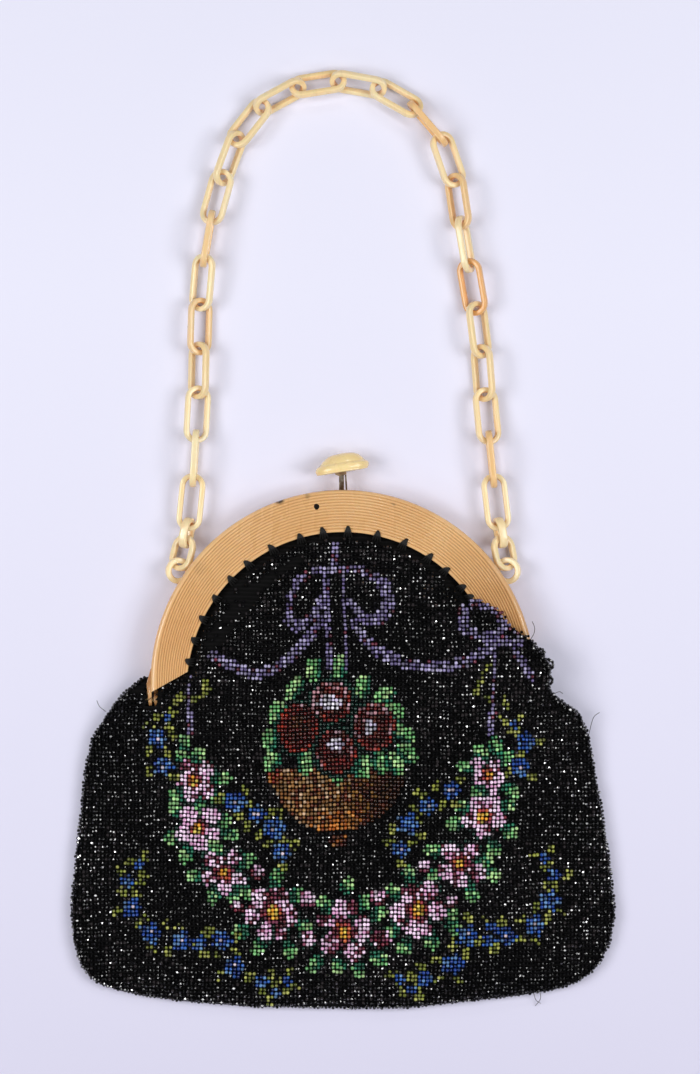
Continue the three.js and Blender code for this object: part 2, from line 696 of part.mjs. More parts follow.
// The room that the frame's band takes out of the pouch, between two heights
function bandRoom(low, high) {
  const outline = new THREE.Shape();
  const clear = radians(0.4);
  for (let step = 0; step <= ARCH_STEPS; step++) {
    const angle = radians(mix(RIM_END_DEG, 180 - RIM_END_DEG, step / ARCH_STEPS));
    const ending = step === 0 ? -clear : step === ARCH_STEPS ? clear : 0;
    const place = rimPoint(angle + ending, ARCH_RADIUS + 2 * GAP);
    outline[step === 0 ? "moveTo" : "lineTo"](place.x, place.y);
  }
  for (let step = ARCH_STEPS; step >= 0; step--) {
    const angle = radians(mix(MOUTH_END_DEG, 180 - MOUTH_END_DEG, step / ARCH_STEPS));
    const ending = step === 0 ? -clear : step === ARCH_STEPS ? clear : 0;
    const place = mouthPoint(angle + ending, GAP);
    outline.lineTo(place.x, place.y);
  }
  const band = new THREE.ExtrudeGeometry(outline, { depth: high - low, bevelEnabled: false });
  return solidFrom(band.translate(0, 0, low));
}

// The cloth that laps over the right end keeps the room above the frame's face
function lapZone(low, high) {
  const outline = new THREE.Shape();
  outline.moveTo(LAP_EDGE[0].x, LAP_LOW_Y);
  LAP_EDGE.forEach(({ x, y }) => outline.lineTo(x, y));
  outline.lineTo(LAP_FAR_X, LAP_EDGE.at(-1).y);
  outline.lineTo(LAP_FAR_X, LAP_LOW_Y);
  const zone = new THREE.ExtrudeGeometry(outline, { depth: high - low, bevelEnabled: false });
  return solidFrom(zone.translate(0, 0, low));
}

const lapFoot = FRAME_DEPTH + GAP;
const roomTop = 2 * FRAME_DEPTH;
const lowRoom = bandRoom(-WALL, lapFoot);
const highRoom = bandRoom(lapFoot - GAP / 2, roomTop).subtract(lapZone(-WALL, roomTop + WALL));
const pouch = solidFrom(pouchForm(0))
  .subtract(solidFrom(pouchForm(WALL)))
  .subtract(lowRoom)
  .subtract(highRoom)
  .subtract(hingeRoom(-1))
  .subtract(hingeRoom(1));
addPiece("pouch", geometryFrom(pouch), CLOTH_COLOUR, 0.6, 0);

export default bag;
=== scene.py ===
"""Looks of a beaded bag with a celluloid frame and link chain, built around its fixed solids.

Sizes are millimetres in the part's own frame, with +Z up from the surface that the bag lies on.
They become metres where a mesh, light or camera is made.
"""

import itertools
import math

import bpy
import numpy as np
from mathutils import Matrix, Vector


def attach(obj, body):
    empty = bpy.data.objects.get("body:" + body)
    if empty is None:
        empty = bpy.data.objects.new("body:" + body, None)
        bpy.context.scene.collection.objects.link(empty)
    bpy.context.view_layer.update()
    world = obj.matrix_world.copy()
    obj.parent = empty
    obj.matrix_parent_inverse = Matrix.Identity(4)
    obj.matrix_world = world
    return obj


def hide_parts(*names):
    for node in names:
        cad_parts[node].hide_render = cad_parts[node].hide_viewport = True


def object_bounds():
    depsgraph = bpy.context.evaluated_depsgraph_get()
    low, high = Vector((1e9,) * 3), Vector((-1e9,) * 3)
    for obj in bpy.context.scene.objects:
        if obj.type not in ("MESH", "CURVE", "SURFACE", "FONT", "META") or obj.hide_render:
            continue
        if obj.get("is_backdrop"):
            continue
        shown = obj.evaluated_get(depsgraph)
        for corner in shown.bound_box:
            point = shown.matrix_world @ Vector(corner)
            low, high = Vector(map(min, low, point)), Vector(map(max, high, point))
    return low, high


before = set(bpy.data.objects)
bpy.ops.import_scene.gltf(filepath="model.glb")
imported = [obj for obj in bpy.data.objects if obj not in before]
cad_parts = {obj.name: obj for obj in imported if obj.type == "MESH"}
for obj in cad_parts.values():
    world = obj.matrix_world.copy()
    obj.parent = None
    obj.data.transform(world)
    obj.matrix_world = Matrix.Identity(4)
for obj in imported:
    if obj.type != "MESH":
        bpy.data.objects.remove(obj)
solid_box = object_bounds()

MM = 0.001
GAP = 0.35
random = np.random.default_rng(1924)

# Frame: a crescent between an outer circle and a smaller mouth circle set lower
ARCH_CENTRE_Y = -57.0
ARCH_RADIUS = 76.8
ARCH_STEPS = 220
MOUTH_DROP = 2.3
MOUTH_RADIUS = 62.2
MOUTH_CENTRE_Y = ARCH_CENTRE_Y - MOUTH_DROP
MOUTH_END_DEG = 4.0
RIM_END_DEG = -3.0
FRAME_DEPTH = 13.0
PARTING_Z = 7.6
PARTING_GAP = 0.4
PLATE_THICK = 2.6
RIM_THICK = 2.5
RIM_ROUND = 1.8
RIM_LAND = 0.9
RIM_STEPS = 6
MOUTH_LAND = 0.9
MOUTH_EDGE_DROP = 0.5
MOUTH_EDGE_ROUND = 0.15
MOUTH_EDGE_SAG = 0.1
GROOVE_COUNT = 13
GROOVE_DEPTH = 0.35
GROOVE_STEPS = 6
GROOVE_SPREAD = 1.5
FRAME_SHARP_DEG = 38.0

# Darkening and stains of the frame, as shares of its dark tone: darker grooves, painted shade on the foot,
# the mouth's edge, the inside faces and the right end, stains, and a dark spot on the rim
GROOVE_DARKENING = 0.5
# Painted shade on the foot by the parting, on the mouth's edge and on the inside faces
FOOT_SHADE = 0.125
MOUTH_EDGE_SHADE = 0.05
INSIDE_SHADE = 0.25
# Painted shade towards the ends of the arch, all of it at the right end
END_SHADE = {"left": 0.0, "right": 0.42}
END_SHADE_FROM = 0.35
END_SHADE_REACH = 0.4
STAIN_REACH = 1.2
FULL_STAIN = 0.9
FRAME_STAINS = [
    # x, y, radius, strength
    (-25.4, 16.0, 2.4, 1.0), (-14.2, 17.3, 1.3, 0.4), (19.8, 14.2, 0.8, 0.5), (-57.1, -11.6, 3.4, 0.1),
]
PLATE_PIT = {"x": -10.5, "y": 13.1, "radius": 1.1, "depth": 1.5, "rise": 1.0}
PIT_MARGIN = 0.02

# Hinge ears beyond the ends of the arch
HINGE_Y = -64.2
EAR_RADIUS = 2.6
EAR_ROUND_STEPS = 22
EAR_ROOT_Y = -57.5
EAR_ROOT_HEIGHT = 4.4
EAR_THICK = 2.0
EAR_TAPER = 0.45
EAR_FLARE = 6.0
EAR_FLARE_THICK = 0.3
EAR_BEVEL = {"width": 0.5, "segments": 3}
FRONT_EAR_X = 76.4
BACK_EAR_X = 74.1
PIN_RADIUS = 1.1
BORE_SIDES = 20
BORE_STEPS = 4

# Clasp
STEM = {"left": -1.6, "right": 0.45, "bottom": 12.0, "top": 26.25, "thick": 1.8}
STRAND = {"top_x": 0.7, "bottom_x": 1.5, "width": 0.7, "thick": 0.8}
COLLAR = {"left": -3.2, "right": 1.4, "bottom": 25.4, "thick": 2.6, "rise": 1.3}
CATCH = {"left": -4.5, "right": 3.9, "bottom": 11.5, "top": 14.5, "thick": 3.2}
STEM_NOTCH = {
    "left": STEM["left"] - GAP,
    "right": STRAND["bottom_x"] + STRAND["width"] + GAP,
    "bottom": 14.8,
    "top": 22.3,
    "thick": STEM["thick"] + 2 * GAP,
}
STEM_BEVEL = {"width": 0.12, "segments": 2}
KNOB_SEAT = (-0.3, 26.85, PARTING_Z)
KNOB_TILT_DEG = 9.0
KNOB_LEAN = 0.15
KNOB_FLATNESS = 0.6
KNOB_SIDES = 64
KNOB_STEPS = 6
# Painted shade on the knob, darkest at its underside and fading with height
KNOB_LOW_SHADE = 0.2
KNOB_SHADE_FADE = 0.02
KNOB_PROFILE = [
    # radius, height
    (0.0, 0.0), (9.2, 0.1), (10.4, 0.7), (10.8, 1.8), (10.3, 3.0),
    (9.0, 3.8), (8.2, 4.8), (6.4, 6.4), (4.0, 7.3), (0.0, 7.7),
]

# Chain: the wire of each kind of link, across and through the link's plane
LINK_WIRES = {
    "link": (2.2, 2.6),
    "connector": (2.0, 3.2),
    "oval_ring": (2.3, 2.4),
    "frame_ring": (2.3, 2.2),
}
LINK_SECTION_SIDES = 20
LINK_END_STEPS = 14
LINK_SIDE_STEPS = 4
LINK_SQUARENESS = 4.0
LEAST_STRAIGHT = 0.1
SOLID_DIGITS = 4
# Painted shade on each link's inner face, and most of all where the next link hangs in it
INNER_FACE_FROM = 0.2
INNER_FACE_SHADE = 0.25
CONTACT_SHADE = 0.7
CONTACT_NARROWNESS = 4
WARMTH_SPREAD = 0.14
ORANGE_LINKS = {
    "link_05": 0.25, "link_07": 0.35, "link_15": 0.4, "link_17": 0.4, "link_19": 0.7, "link_23": 0.4,
}

# Pouch: outline and height of each level, from the mouth down. None: the side follows the arch.
POUCH_ARCH_RADIUS = 70.0
POUCH_LEVELS = [
    # y, left, right, crown, left edge, right edge
    (9.0, None, None, 11.8, 10.0, 10.0),
    (4.0, None, None, 12.2, 10.0, 10.0),
    (-1.0, None, None, 12.8, 10.0, 10.0),
    (-7.0, None, None, 14.0, 10.0, 10.5),
    (-15.0, None, None, 15.4, 10.0, 11.5),
    (-24.0, None, None, 16.4, 10.0, 14.0),
    (-33.0, None, None, 17.0, 10.0, 15.8),
    (-40.0, None, 75.5, 17.3, 10.0, 16.0),
    (-45.0, None, 79.6, 17.5, 10.0, 15.8),
    (-50.0, None, 83.2, 17.6, 9.5, 15.8),
    (-52.6, None, 83.0, 17.6, 9.3, 15.7),
    (-53.6, -77.8, 83.0, 17.6, 9.2, 15.7),
    (-56.0, -81.6, 82.8, 17.6, 9.0, 15.6),
    (-59.0, -85.4, 82.2, 17.5, 8.5, 15.4),
    (-63.4, -90.0, 86.0, 17.4, 7.0, 14.6),
    (-69.0, -94.4, 94.8, 17.2, 6.0, 9.5),
    (-79.0, -100.6, 99.0, 16.6, 5.0, 6.4),
    (-92.0, -104.0, 101.2, 15.6, 4.6, 5.0),
    (-108.0, -105.4, 104.2, 14.6, 4.4, 4.8),
    (-128.0, -107.8, 107.2, 13.4, 4.4, 4.6),
    (-150.0, -109.6, 109.6, 12.4, 4.4, 4.4),
    (-163.0, -108.2, 107.2, 11.6, 4.4, 4.4),
    (-172.0, -105.2, 102.4, 10.6, 4.4, 4.4),
    (-178.0, -100.0, 94.8, 9.4, 4.4, 4.4),
    (-182.0, -89.0, 82.0, 8.0, 4.4, 4.4),
    (-185.6, -66.0, 49.0, 6.4, 4.4, 4.4),
    (-188.6, -24.0, 22.0, 5.0, 4.4, 4.4),
]
POUCH_TOP_Y = 2.5
POUCH_BOTTOM_Y = -188.6
LEFT_SIDE_TOP_Y = -55.0
OUTLINE_STEP = 1.0
LEVEL_STEP = 0.5
LEVEL_SMOOTHING = 7
CROWN_FULLNESS = 3.4
SIDE_TUCK = 1.6

# Folds of the front: a ridge, or a valley where the height is negative, along a line
FOLDS = [
    # from x, from y, to x, to y, width, height
    (-52.0, -42.0, -40.0, -22.0, 6.0, -2.4),
    (-40.0, -22.0, -17.0, -8.0, 5.0, -2.0),
    (19.0, -9.0, 36.0, -15.0, 4.0, -1.6),
    (50.0, -28.0, 66.0, -52.0, 9.0, 1.4),
    (-74.0, -74.0, -48.0, -100.0, 9.0, 1.2),
    (70.0, -76.0, 52.0, -104.0, 9.0, 1.2),
    (-92.0, -120.0, -64.0, -170.0, 8.0, -1.0),
    (92.0, -118.0, 66.0, -168.0, 8.0, -1.0),
]
LAP_EDGE_X = [50.0, 62.8, 75.5, 95.0]
LAP_EDGE_Y = [-20.5, -27.0, -39.0, -39.0]
LAP_FADE = 2.0

# Cloth
TUCK_REACH = 4.0
FRONT_TUCK_Z = 10.6
BACK_TUCK_Z = 3.4
UNDER_PLATE = 1.8
CLOTH_DEPTH = 1.2
CLOTH_THICK = 0.5
CLOTH_STEP = 2.2
CLOTH_COLUMNS = 97
CLOTH_SPREAD = 0.9
CLOTH_EAR_ROOM = 0.4
CLOTH_SIDE_ROOM = 0.5
CLOTH_SIDE_Y = -58.0
PLEAT_COUNT = 240.0
PLEAT_HEIGHT = 0.25
PLEAT_LOW_Y = -55.0

# Beads
BEAD_DEPTH = 0.5
BEAD_PITCH = 1.52
BEAD_ROW = 1.6
BEAD_SIZE = (1.44, 1.48, 1.36)
BEAD_SIZE_SHARES = (0.88, 1.07)
BEAD_ROOM = 1.0
BEAD_JITTER = 0.1
FIRST_ROW = 1.2
SURFACE_STEP = 0.3
LOWEST_BEAD_Z = BEAD_SIZE[2] / 2 + 0.02
BARE_STRIP = 2.7
BARE_STRIP_RAGGED = 0.5
LAP_ROOM = 0.4
# Painted shade in the fold valleys along the left arch: beads left out there show the black cloth
GUTTER_DEPTH = 1.8
GUTTER_FOLDS = 2
GUTTER_SHADE_SHARE = 0.75
EDGE_PITCH = 1.5
EDGE_UNEVENNESS = 0.7
EDGE_JITTER = 0.06
LEAST_EDGE_ROWS = 2
LAP_ROW = {"start": 2.0, "pitch": 1.2, "inset": 0.6, "bottom": FRAME_DEPTH + 0.9, "step": 1.0}
LOOP_PITCH = 1.0
BEAD_LOOPS = [
    # middle x, y and z, radius, first and last angle in degrees
    (81.6, -49.8, 13.5, 2.0, -60.0, 170.0), (82.0, -56.2, 12.5, 1.5, -100.0, 100.0),
    (78.4, -45.0, 14.0, 1.6, -30.0, 160.0),
]
HALVES = (("left", -1), ("right", 1))

# Waves over the cloth: the unevenness of hand-laid rows, and painted sheen and shade, a slow change of the
# jet beads' colour and shine over the cloth
ROW_WAVES_X = [
    # height, distance along x and along y for one radian, start
    (0.35, math.inf, 8.7, 0.6), (0.3, 15.0, 11.0, 0.0),
]
ROW_WAVES_Y = [
    # the same columns
    (0.4, 12.6, math.inf, 1.1), (0.25, 5.7, 19.0, 0.0),
]
# Painted sheen and shade of the jet beads
SHEEN_AND_SHADE_WAVES = [
    # the same columns
    (0.14, 17.0, 29.0, 0.4), (0.14, -37.0, 13.0, 2.0),
    (0.07, 9.0, -11.0, 1.7 + math.pi / 2), (0.07, 9.0, 11.0, 1.7 - math.pi / 2),
]
SHEEN_AND_SHADE_BASE = 0.62
SPARK = 1.9

# Stitches over the mouth's edge, and loose threads
STITCHES = [
    # angle round the arch in degrees, reach on to the frame's face, lean of the tip towards the left end
    (172.3, 1.5, -0.5), (164.2, 1.3, -0.6), (155.6, 1.7, -0.4), (146.7, 1.4, -0.7), (137.4, 1.7, -0.3),
    (128.7, 1.9, 0.5), (117.9, 2.1, 0.6), (106.4, 1.8, 0.2), (97.5, 2.4, 0.4), (88.1, 2.4, 0.0),
    (76.8, 2.1, 0.1), (66.4, 2.5, -0.6), (55.5, 2.1, -0.4), (47.6, 1.8, -0.7), (38.7, 1.5, -0.5),
    (34.0, 1.5, -0.3),
]
STITCH_PATH = [
    # way inside the edge, share of the reach, spread of the strands, share of the lean, height on the face
    (2.4, 0.0, 2.2, 0.0, -3.8), (0.15, 0.0, 1.5, 0.0, 0.108),
    (0.0, 0.6, 0.8, 0.4, 0.324), (0.0, 1.0, 0.25, 1.0, -0.216),
]
STITCH_STRANDS = (-0.75, -0.25, 0.25, 0.75)
STITCH_STEPS = 5
THREAD_RADIUS = 0.36
THREAD_SIDES = 7
LOOSE_THREADS = [
    # points along each loose end, from the cloth outwards
    [(74.4, -40.0, 15.8), (75.9, -37.2, 16.4), (76.1, -34.8, 16.0), (75.2, -32.6, 15.0)],
    [(98.5, -79.0, 4.0), (99.6, -74.0, 4.6), (100.8, -71.0, 4.2), (103.0, -69.5, 3.0)],
    [(76.5, -182.0, 3.0), (77.5, -185.0, 2.2), (79.5, -186.6, 1.4)],
    [(79.0, -181.4, 3.0), (79.4, -184.6, 2.0), (77.4, -187.6, 0.9)],
    [(83.0, -62.0, 14.0), (86.0, -60.6, 13.0), (87.6, -61.4, 11.4)],
    [(-95.0, -69.0, 5.4), (-97.6, -67.0, 5.0), (-98.8, -64.6, 4.0)],
    [(-71.6, -60.4, 10.6), (-73.4, -61.5, 11.0), (-75.5, -62.7, 11.0), (-77.4, -63.8, 10.7),
     (-78.6, -64.6, 9.8)],
]
LOOSE_THREAD_STEPS = 6
LOOSE_THREAD_RADIUS = 0.12
LOOSE_THREAD_SIDES = 5

# A direction that no tube runs along
TUBE_HELPER = (0.31, 0.17, 0.93)

# Bows and ribbons of the front
RIBBONS = [
    # half width, points
    (1.6, [(-3.0, 1.5), (-3.0, -8.0), (-3.0, -12.5)]),
    (1.7, [(-6.5, -12.5), (-11.7, -12.7), (-15.8, -15.1), (-20.0, -19.8), (-21.4, -26.3), (-21.5, -31.5)]),
    (2.2, [(-21.5, -31.5), (-19.6, -35.0), (-15.8, -33.6)]),
    (1.7, [(-15.8, -33.6), (-11.7, -30.4), (-8.2, -24.5), (-6.4, -22.2)]),
    (1.7, [(0.5, -12.0), (5.0, -12.2), (9.3, -13.4), (16.4, -17.0)]),
    (2.8, [(16.4, -18.0), (19.0, -23.7), (18.0, -28.8), (13.8, -32.3), (9.5, -31.8)]),
    (1.9, [(9.3, -32.0), (4.8, -26.9), (1.5, -23.5)]),
    (0.9, [(-6.0, -12.5), (-6.0, -52.0)]),
    (0.9, [(0.5, -12.5), (0.5, -52.0)]),
    (1.7, [(-7.0, -31.0), (-14.7, -39.8)]),
    (2.3, [(-14.7, -39.8), (-21.1, -46.3), (-27.0, -50.4), (-33.5, -52.6), (-38.8, -52.2), (-45.9, -49.3),
           (-51.5, -46.9)]),
    (1.7, [(4.2, -33.3), (7.4, -38.5), (13.2, -44.5)]),
    (2.3, [(13.2, -44.5), (20.9, -48.5), (30.5, -50.6), (40.2, -50.2), (49.8, -47.5), (58.2, -43.0),
           (62.7, -39.7)]),
    (2.2, [(60.8, -39.1), (53.0, -37.6), (48.2, -35.6), (47.4, -30.7), (49.4, -25.6), (53.0, -24.8),
           (58.2, -26.1), (62.0, -29.0)]),
    (1.6, [(62.0, -29.0), (63.3, -33.3), (62.6, -39.0)]),
    (1.3, [(64.5, -32.0), (67.8, -35.6), (70.4, -41.7), (66.6, -41.0)]),
    (1.5, [(65.9, -41.7), (69.8, -47.5), (75.2, -54.8)]),
    (0.9, [(60.3, -43.0), (60.0, -69.0)]),
    (1.6, [(60.0, -69.0), (59.5, -76.0)]),
    (0.7, [(-61.0, -54.0), (-61.0, -70.0)]),
    (1.6, [(-61.0, -70.0), (-60.5, -76.0)]),
]
RIBBON_SHARE = 0.95
RIBBON_RED_SHARE = 0.1
SPRAYS = [
    # half width, points
    (1.6, [(-67.0, -65.0), (-63.5, -61.5)]),
    (1.2, [(-61.0, -63.5), (-57.0, -63.0), (-52.5, -59.0)]),
    (1.5, [(-54.0, -61.5), (-54.5, -56.0)]),
    (1.4, [(52.5, -61.0), (55.0, -58.0), (56.0, -53.0)]),
    (1.1, [(56.5, -51.5), (58.0, -49.5)]),
    (1.5, [(63.5, -63.5), (66.0, -66.5)]),
    (1.1, [(59.5, -65.0), (57.5, -62.5)]),
    (1.2, [(62.0, -68.0), (65.0, -71.5), (67.0, -76.5)]),
]
SPRAY_SHARE = 0.75

# Basket of roses
BASKET = {"x": -2.4, "y": -91.0, "half_width": 27.0, "half_height": 25.6}
BASKET_FOOT = {"x": -1.8, "y": -119.9, "half_width": 3.8, "half_height": 2.6}
BASKET_TIP = {"x": -28.5, "y": -92.5, "half_width": 2.6, "half_height": 4.5}
BASKET_LEAF = {"x": -2.2, "top_y": -88.0, "tip_y": -99.0, "half_width": 9.0, "border": 2.6}
BASKET_SHADE = 0.7
BASKET_FADE = 0.95
BASKET_AMBER_FROM = 1.0
BASKET_GOLD_FROM = 0.5
BASKET_ORANGE = {"depth": 0.55, "reach": 0.4, "width": 1.1, "narrowing": 2.0}
ROSES = [
    # middle, half width and height, share of pale rims, the same measures of the highlight
    ((-4.3, -64.5, 8.0, 8.3), 1.0, (-4.8, -65.2, 5.4, 2.9)),
    ((-17.3, -74.8, 7.9, 10.0), 0.3, None),
    ((12.5, -74.4, 8.3, 9.7), 0.7, (10.8, -74.6, 2.5, 2.7)),
    ((-2.3, -84.7, 8.0, 8.7), 0.7, (-2.2, -81.7, 3.6, 2.1)),
]
ROSE_GAP = 1.9
ROSE_RIM_FROM = 0.8
ROSE_RUST_SHARE = 0.6
ROSE_WHORL = {"turns": 3.2, "crest": 0.72, "edge": 0.95, "share": 0.8}
ROSE_HEART = {"size": 0.55, "share": 0.7}
ROSE_SIDE = {"rim": 0.72, "left": -0.5}
BASKET_LEAVES = [
    # x, y, angle in degrees from +X along the leaf
    (-12.1, -51.8, 90.0), (-1.8, -51.0, 85.0), (7.6, -58.0, 80.0), (16.0, -62.3, 30.0), (20.3, -68.6, 330.0),
    (24.6, -77.4, 330.0), (25.3, -84.8, 320.0), (-19.0, -58.8, 60.0), (-25.8, -68.0, 60.0),
    (-28.9, -78.8, 80.0), (-28.6, -88.0, 57.0), (-15.4, -88.6, 260.0), (8.0, -91.0, 260.0),
    (14.8, -88.8, 280.0), (21.0, -89.4, 300.0),
]
LEAF_SIZE = (5.0, 3.4)
LEAF_VEIN = -0.3 * LEAF_SIZE[1]

# Garland of pink flowers
PINK_FLOWERS = [
    # middle x and y, its half width and height, then the petals: x, y, half width, half height, dark share
    (-59.5, -96.3, 2.0, 2.0, [
        (-61.8, -90.6, 3.1, 2.3, 0.6), (-54.8, -91.3, 3.2, 3.0, 0.1), (-64.0, -96.6, 2.3, 2.4, 0.1),
        (-60.9, -101.2, 2.7, 2.8, 0.1), (-54.4, -99.4, 2.7, 3.2, 0.4)]),
    (-57.5, -115.4, 2.0, 2.2, [
        (-61.2, -110.5, 3.2, 3.6, 0.0), (-52.6, -109.5, 3.6, 2.8, 0.05), (-51.2, -116.6, 2.8, 2.4, 0.05),
        (-56.8, -121.3, 3.6, 2.8, 0.05), (-63.0, -118.0, 3.1, 3.0, 0.0)]),
    (-47.1, -132.6, 2.2, 2.0, [
        (-51.4, -127.6, 3.5, 2.6, 0.3), (-43.2, -126.3, 2.8, 2.8, 0.35), (-53.6, -134.8, 2.8, 2.8, 0.6),
        (-46.9, -138.3, 2.5, 2.9, 0.3), (-41.5, -134.8, 2.9, 2.6, 0.1)]),
    (-28.0, -148.4, 3.0, 3.0, [
        (-33.3, -142.2, 3.3, 3.4, 0.1), (-26.2, -141.6, 4.0, 2.9, 0.9), (-23.6, -144.6, 1.7, 1.7, 0.0),
        (-21.4, -149.8, 3.0, 3.7, 0.25), (-31.3, -156.0, 2.7, 3.5, 0.2), (-25.2, -156.0, 2.6, 2.8, 0.6),
        (-36.8, -149.4, 2.4, 3.6, 0.15)]),
    (0.0, -156.7, 2.5, 3.4, [
        (-0.4, -147.6, 3.2, 3.5, 0.2), (3.9, -146.8, 2.2, 2.4, 1.0), (-7.6, -152.0, 3.2, 2.5, 0.95),
        (-4.8, -153.4, 2.0, 1.8, 0.1), (-5.2, -161.3, 3.2, 3.8, 0.35), (4.4, -164.6, 3.7, 3.3, 0.45),
        (7.4, -155.4, 3.1, 4.8, 0.2), (15.0, -159.8, 3.6, 3.2, 0.85), (-14.2, -159.6, 2.7, 2.8, 0.35)]),
    (29.4, -147.0, 2.8, 3.4, [
        (27.6, -140.5, 4.0, 2.6, 0.9), (25.0, -142.9, 2.1, 1.8, 0.0), (34.3, -139.0, 3.2, 3.7, 0.2),
        (37.2, -147.6, 3.1, 3.4, 0.15), (29.2, -155.0, 5.2, 3.3, 0.15), (21.6, -149.1, 2.7, 4.3, 0.2)]),
    (47.3, -128.9, 2.4, 2.4, [
        (42.9, -123.7, 3.3, 3.0, 0.2), (51.6, -123.7, 3.0, 3.0, 0.45), (54.0, -132.5, 3.2, 3.3, 0.4),
        (46.8, -135.6, 3.3, 3.1, 0.15), (41.3, -131.6, 2.7, 2.9, 0.1)]),
    (55.9, -110.0, 2.4, 2.8, [
        (53.1, -104.8, 3.3, 3.0, 0.15), (59.3, -104.8, 2.8, 3.5, 0.15), (61.7, -112.0, 2.7, 3.0, 0.1),
        (55.9, -115.8, 2.8, 2.5, 0.3), (50.8, -111.3, 2.7, 2.7, 0.1)]),
    (57.2, -93.0, 1.6, 1.6, [
        (53.2, -88.2, 2.1, 2.6, 0.1), (59.9, -89.5, 2.5, 2.5, 0.5), (61.6, -95.0, 2.1, 2.2, 0.1),
        (59.2, -97.4, 2.1, 2.1, 0.1), (54.0, -94.0, 2.3, 3.1, 0.2)]),
]
PETAL_GAP = 1.5
PETAL_GAP_SHARE = 0.85
PETAL_SIZE = 1.14
PETAL_DIMMEST = 0.76
HEART_RIM = 2.0
HEART_SIZE = 0.74
HEART_SHARE = 0.85
CENTRE_SIZE = 0.9
GARLAND_LEAVES = [
    # x, y
    (-63.0, -81.3), (-64.3, -87.2), (-57.5, -86.4), (-48.7, -94.4), (-66.6, -102.7), (-57.0, -105.4),
    (-50.6, -102.2), (-66.4, -108.7), (-47.4, -111.9), (-44.6, -116.9), (-67.6, -119.2), (-62.0, -126.1),
    (-50.1, -122.9), (-37.7, -127.5), (-58.8, -134.4), (-26.2, -134.8), (-39.1, -139.6), (-51.9, -142.2),
    (-18.0, -141.3), (-43.8, -142.6), (-41.4, -156.0), (-34.2, -162.0), (-15.8, -154.0), (-21.8, -163.4),
    (-7.1, -145.8), (1.6, -138.4), (-11.2, -169.9), (-2.0, -170.6), (6.7, -172.3), (14.5, -167.4),
    (8.4, -144.8), (14.0, -149.8), (20.0, -141.0), (19.0, -156.4), (24.6, -162.6), (26.4, -133.2),
    (36.3, -123.6), (37.6, -133.0), (42.4, -148.2), (51.1, -140.9), (60.3, -133.3), (60.8, -122.6),
    (57.6, -127.6), (66.4, -116.4), (45.0, -112.8), (46.5, -106.0), (65.2, -105.7), (66.0, -100.0),
    (53.0, -99.6), (48.5, -89.9), (54.7, -84.4), (60.8, -81.9), (64.4, -87.0), (35.0, -160.0), (43.6, -154.4),
]
GARLAND_LEAF_SIZE = (4.0, 2.9)
GARLAND_LEAF_ROOT = -0.8
GARLAND_LEAF_SLANT = 0.6
GARLAND_LIGHT_SHARE = 0.92
BUDS = [
    # x, y, radius
    (-33.0, -132.2, 2.9), (-13.7, -143.8, 3.6), (-42.4, -146.0, 2.6),
    (32.7, -129.8, 2.8), (14.0, -143.2, 3.6), (43.2, -144.0, 2.4),
]
BUD_TIP = {"rise": 0.3, "width": 0.8, "height": 0.7}

# Sprays of blue flowers
BLUE_SPRAYS = [
    # x, y, radius of each flower along a spray
    [(-70.0, -72.0, 2.0), (-74.0, -80.0, 4.2), (-71.5, -91.0, 4.2)],
    [(-43.0, -104.0, 4.4), (-35.0, -109.0, 3.8), (-27.5, -115.0, 4.8), (-24.0, -124.5, 4.0)],
    [(-81.0, -130.0, 2.2), (-86.0, -137.0, 3.2), (-84.5, -147.5, 4.4), (-77.0, -157.5, 4.8),
     (-65.0, -160.5, 4.4), (-57.5, -161.5, 3.2), (-49.0, -160.0, 4.4), (-43.5, -170.5, 4.6),
     (-32.5, -176.0, 3.2), (-27.0, -180.5, 2.4), (-22.0, -176.0, 2.2)],
    [(68.5, -74.0, 2.0), (73.0, -81.0, 4.4), (70.5, -91.0, 4.2)],
    [(42.5, -99.5, 4.2), (33.5, -105.5, 3.8), (26.0, -113.0, 4.8), (23.0, -123.5, 4.0)],
    [(80.5, -128.0, 2.2), (85.0, -134.5, 3.0), (83.0, -145.0, 4.4), (76.5, -154.5, 4.4),
     (65.0, -158.5, 4.4), (58.0, -160.0, 3.0), (59.0, -155.0, 2.6), (49.0, -157.5, 4.8),
     (44.0, -169.0, 4.8), (33.5, -175.5, 3.6), (28.5, -180.5, 2.4), (23.5, -176.0, 2.2)],
]
BLUE_EDGE = {"reach": 0.9, "scallop": 0.14, "petals": 5}
BLUE_CENTRE_RADIUS = 0.85
LEAST_CENTRED_FLOWER = 3.5
SPRIG_TURNS = (0.9, 2.9, 5.0)
SPRIG_STEP = 1.3
SPRIG_REACH = 1.8
SPRIG_SIZE = (2.6, 1.7)
SPRIG_LEAN = 0.8
SPRIG_SHARE = 0.85

# Bead colours, as red, green and blue up to 255, and the dimmest and brightest shares of them
LILACS = [(150, 140, 184), (122, 112, 156), (98, 86, 132), (178, 170, 206)]
LILAC_REDS = [(112, 46, 64), (92, 34, 52)]
OLIVES = [(146, 152, 64), (112, 122, 46), (176, 178, 92)]
LEAF_LIGHTS = [(164, 220, 150), (190, 230, 158), (128, 196, 124), (98, 166, 100)]
LEAF_DARKS = [(30, 104, 76), (24, 86, 64), (36, 118, 90)]
PINKS = [(250, 220, 246), (238, 198, 230), (254, 232, 252), (220, 164, 204)]
DEEP_PINKS = [(108, 34, 50), (86, 26, 38), (134, 64, 90)]
CENTRE_REDS = [(176, 70, 60), (150, 50, 60), (200, 100, 56)]
CENTRE_YELLOWS = [(245, 190, 70), (240, 215, 95), (235, 160, 50)]
BLUES = [(34, 78, 164), (50, 98, 180), (28, 60, 140), (100, 142, 194)]
PALES = [(225, 205, 215), (205, 190, 205)]
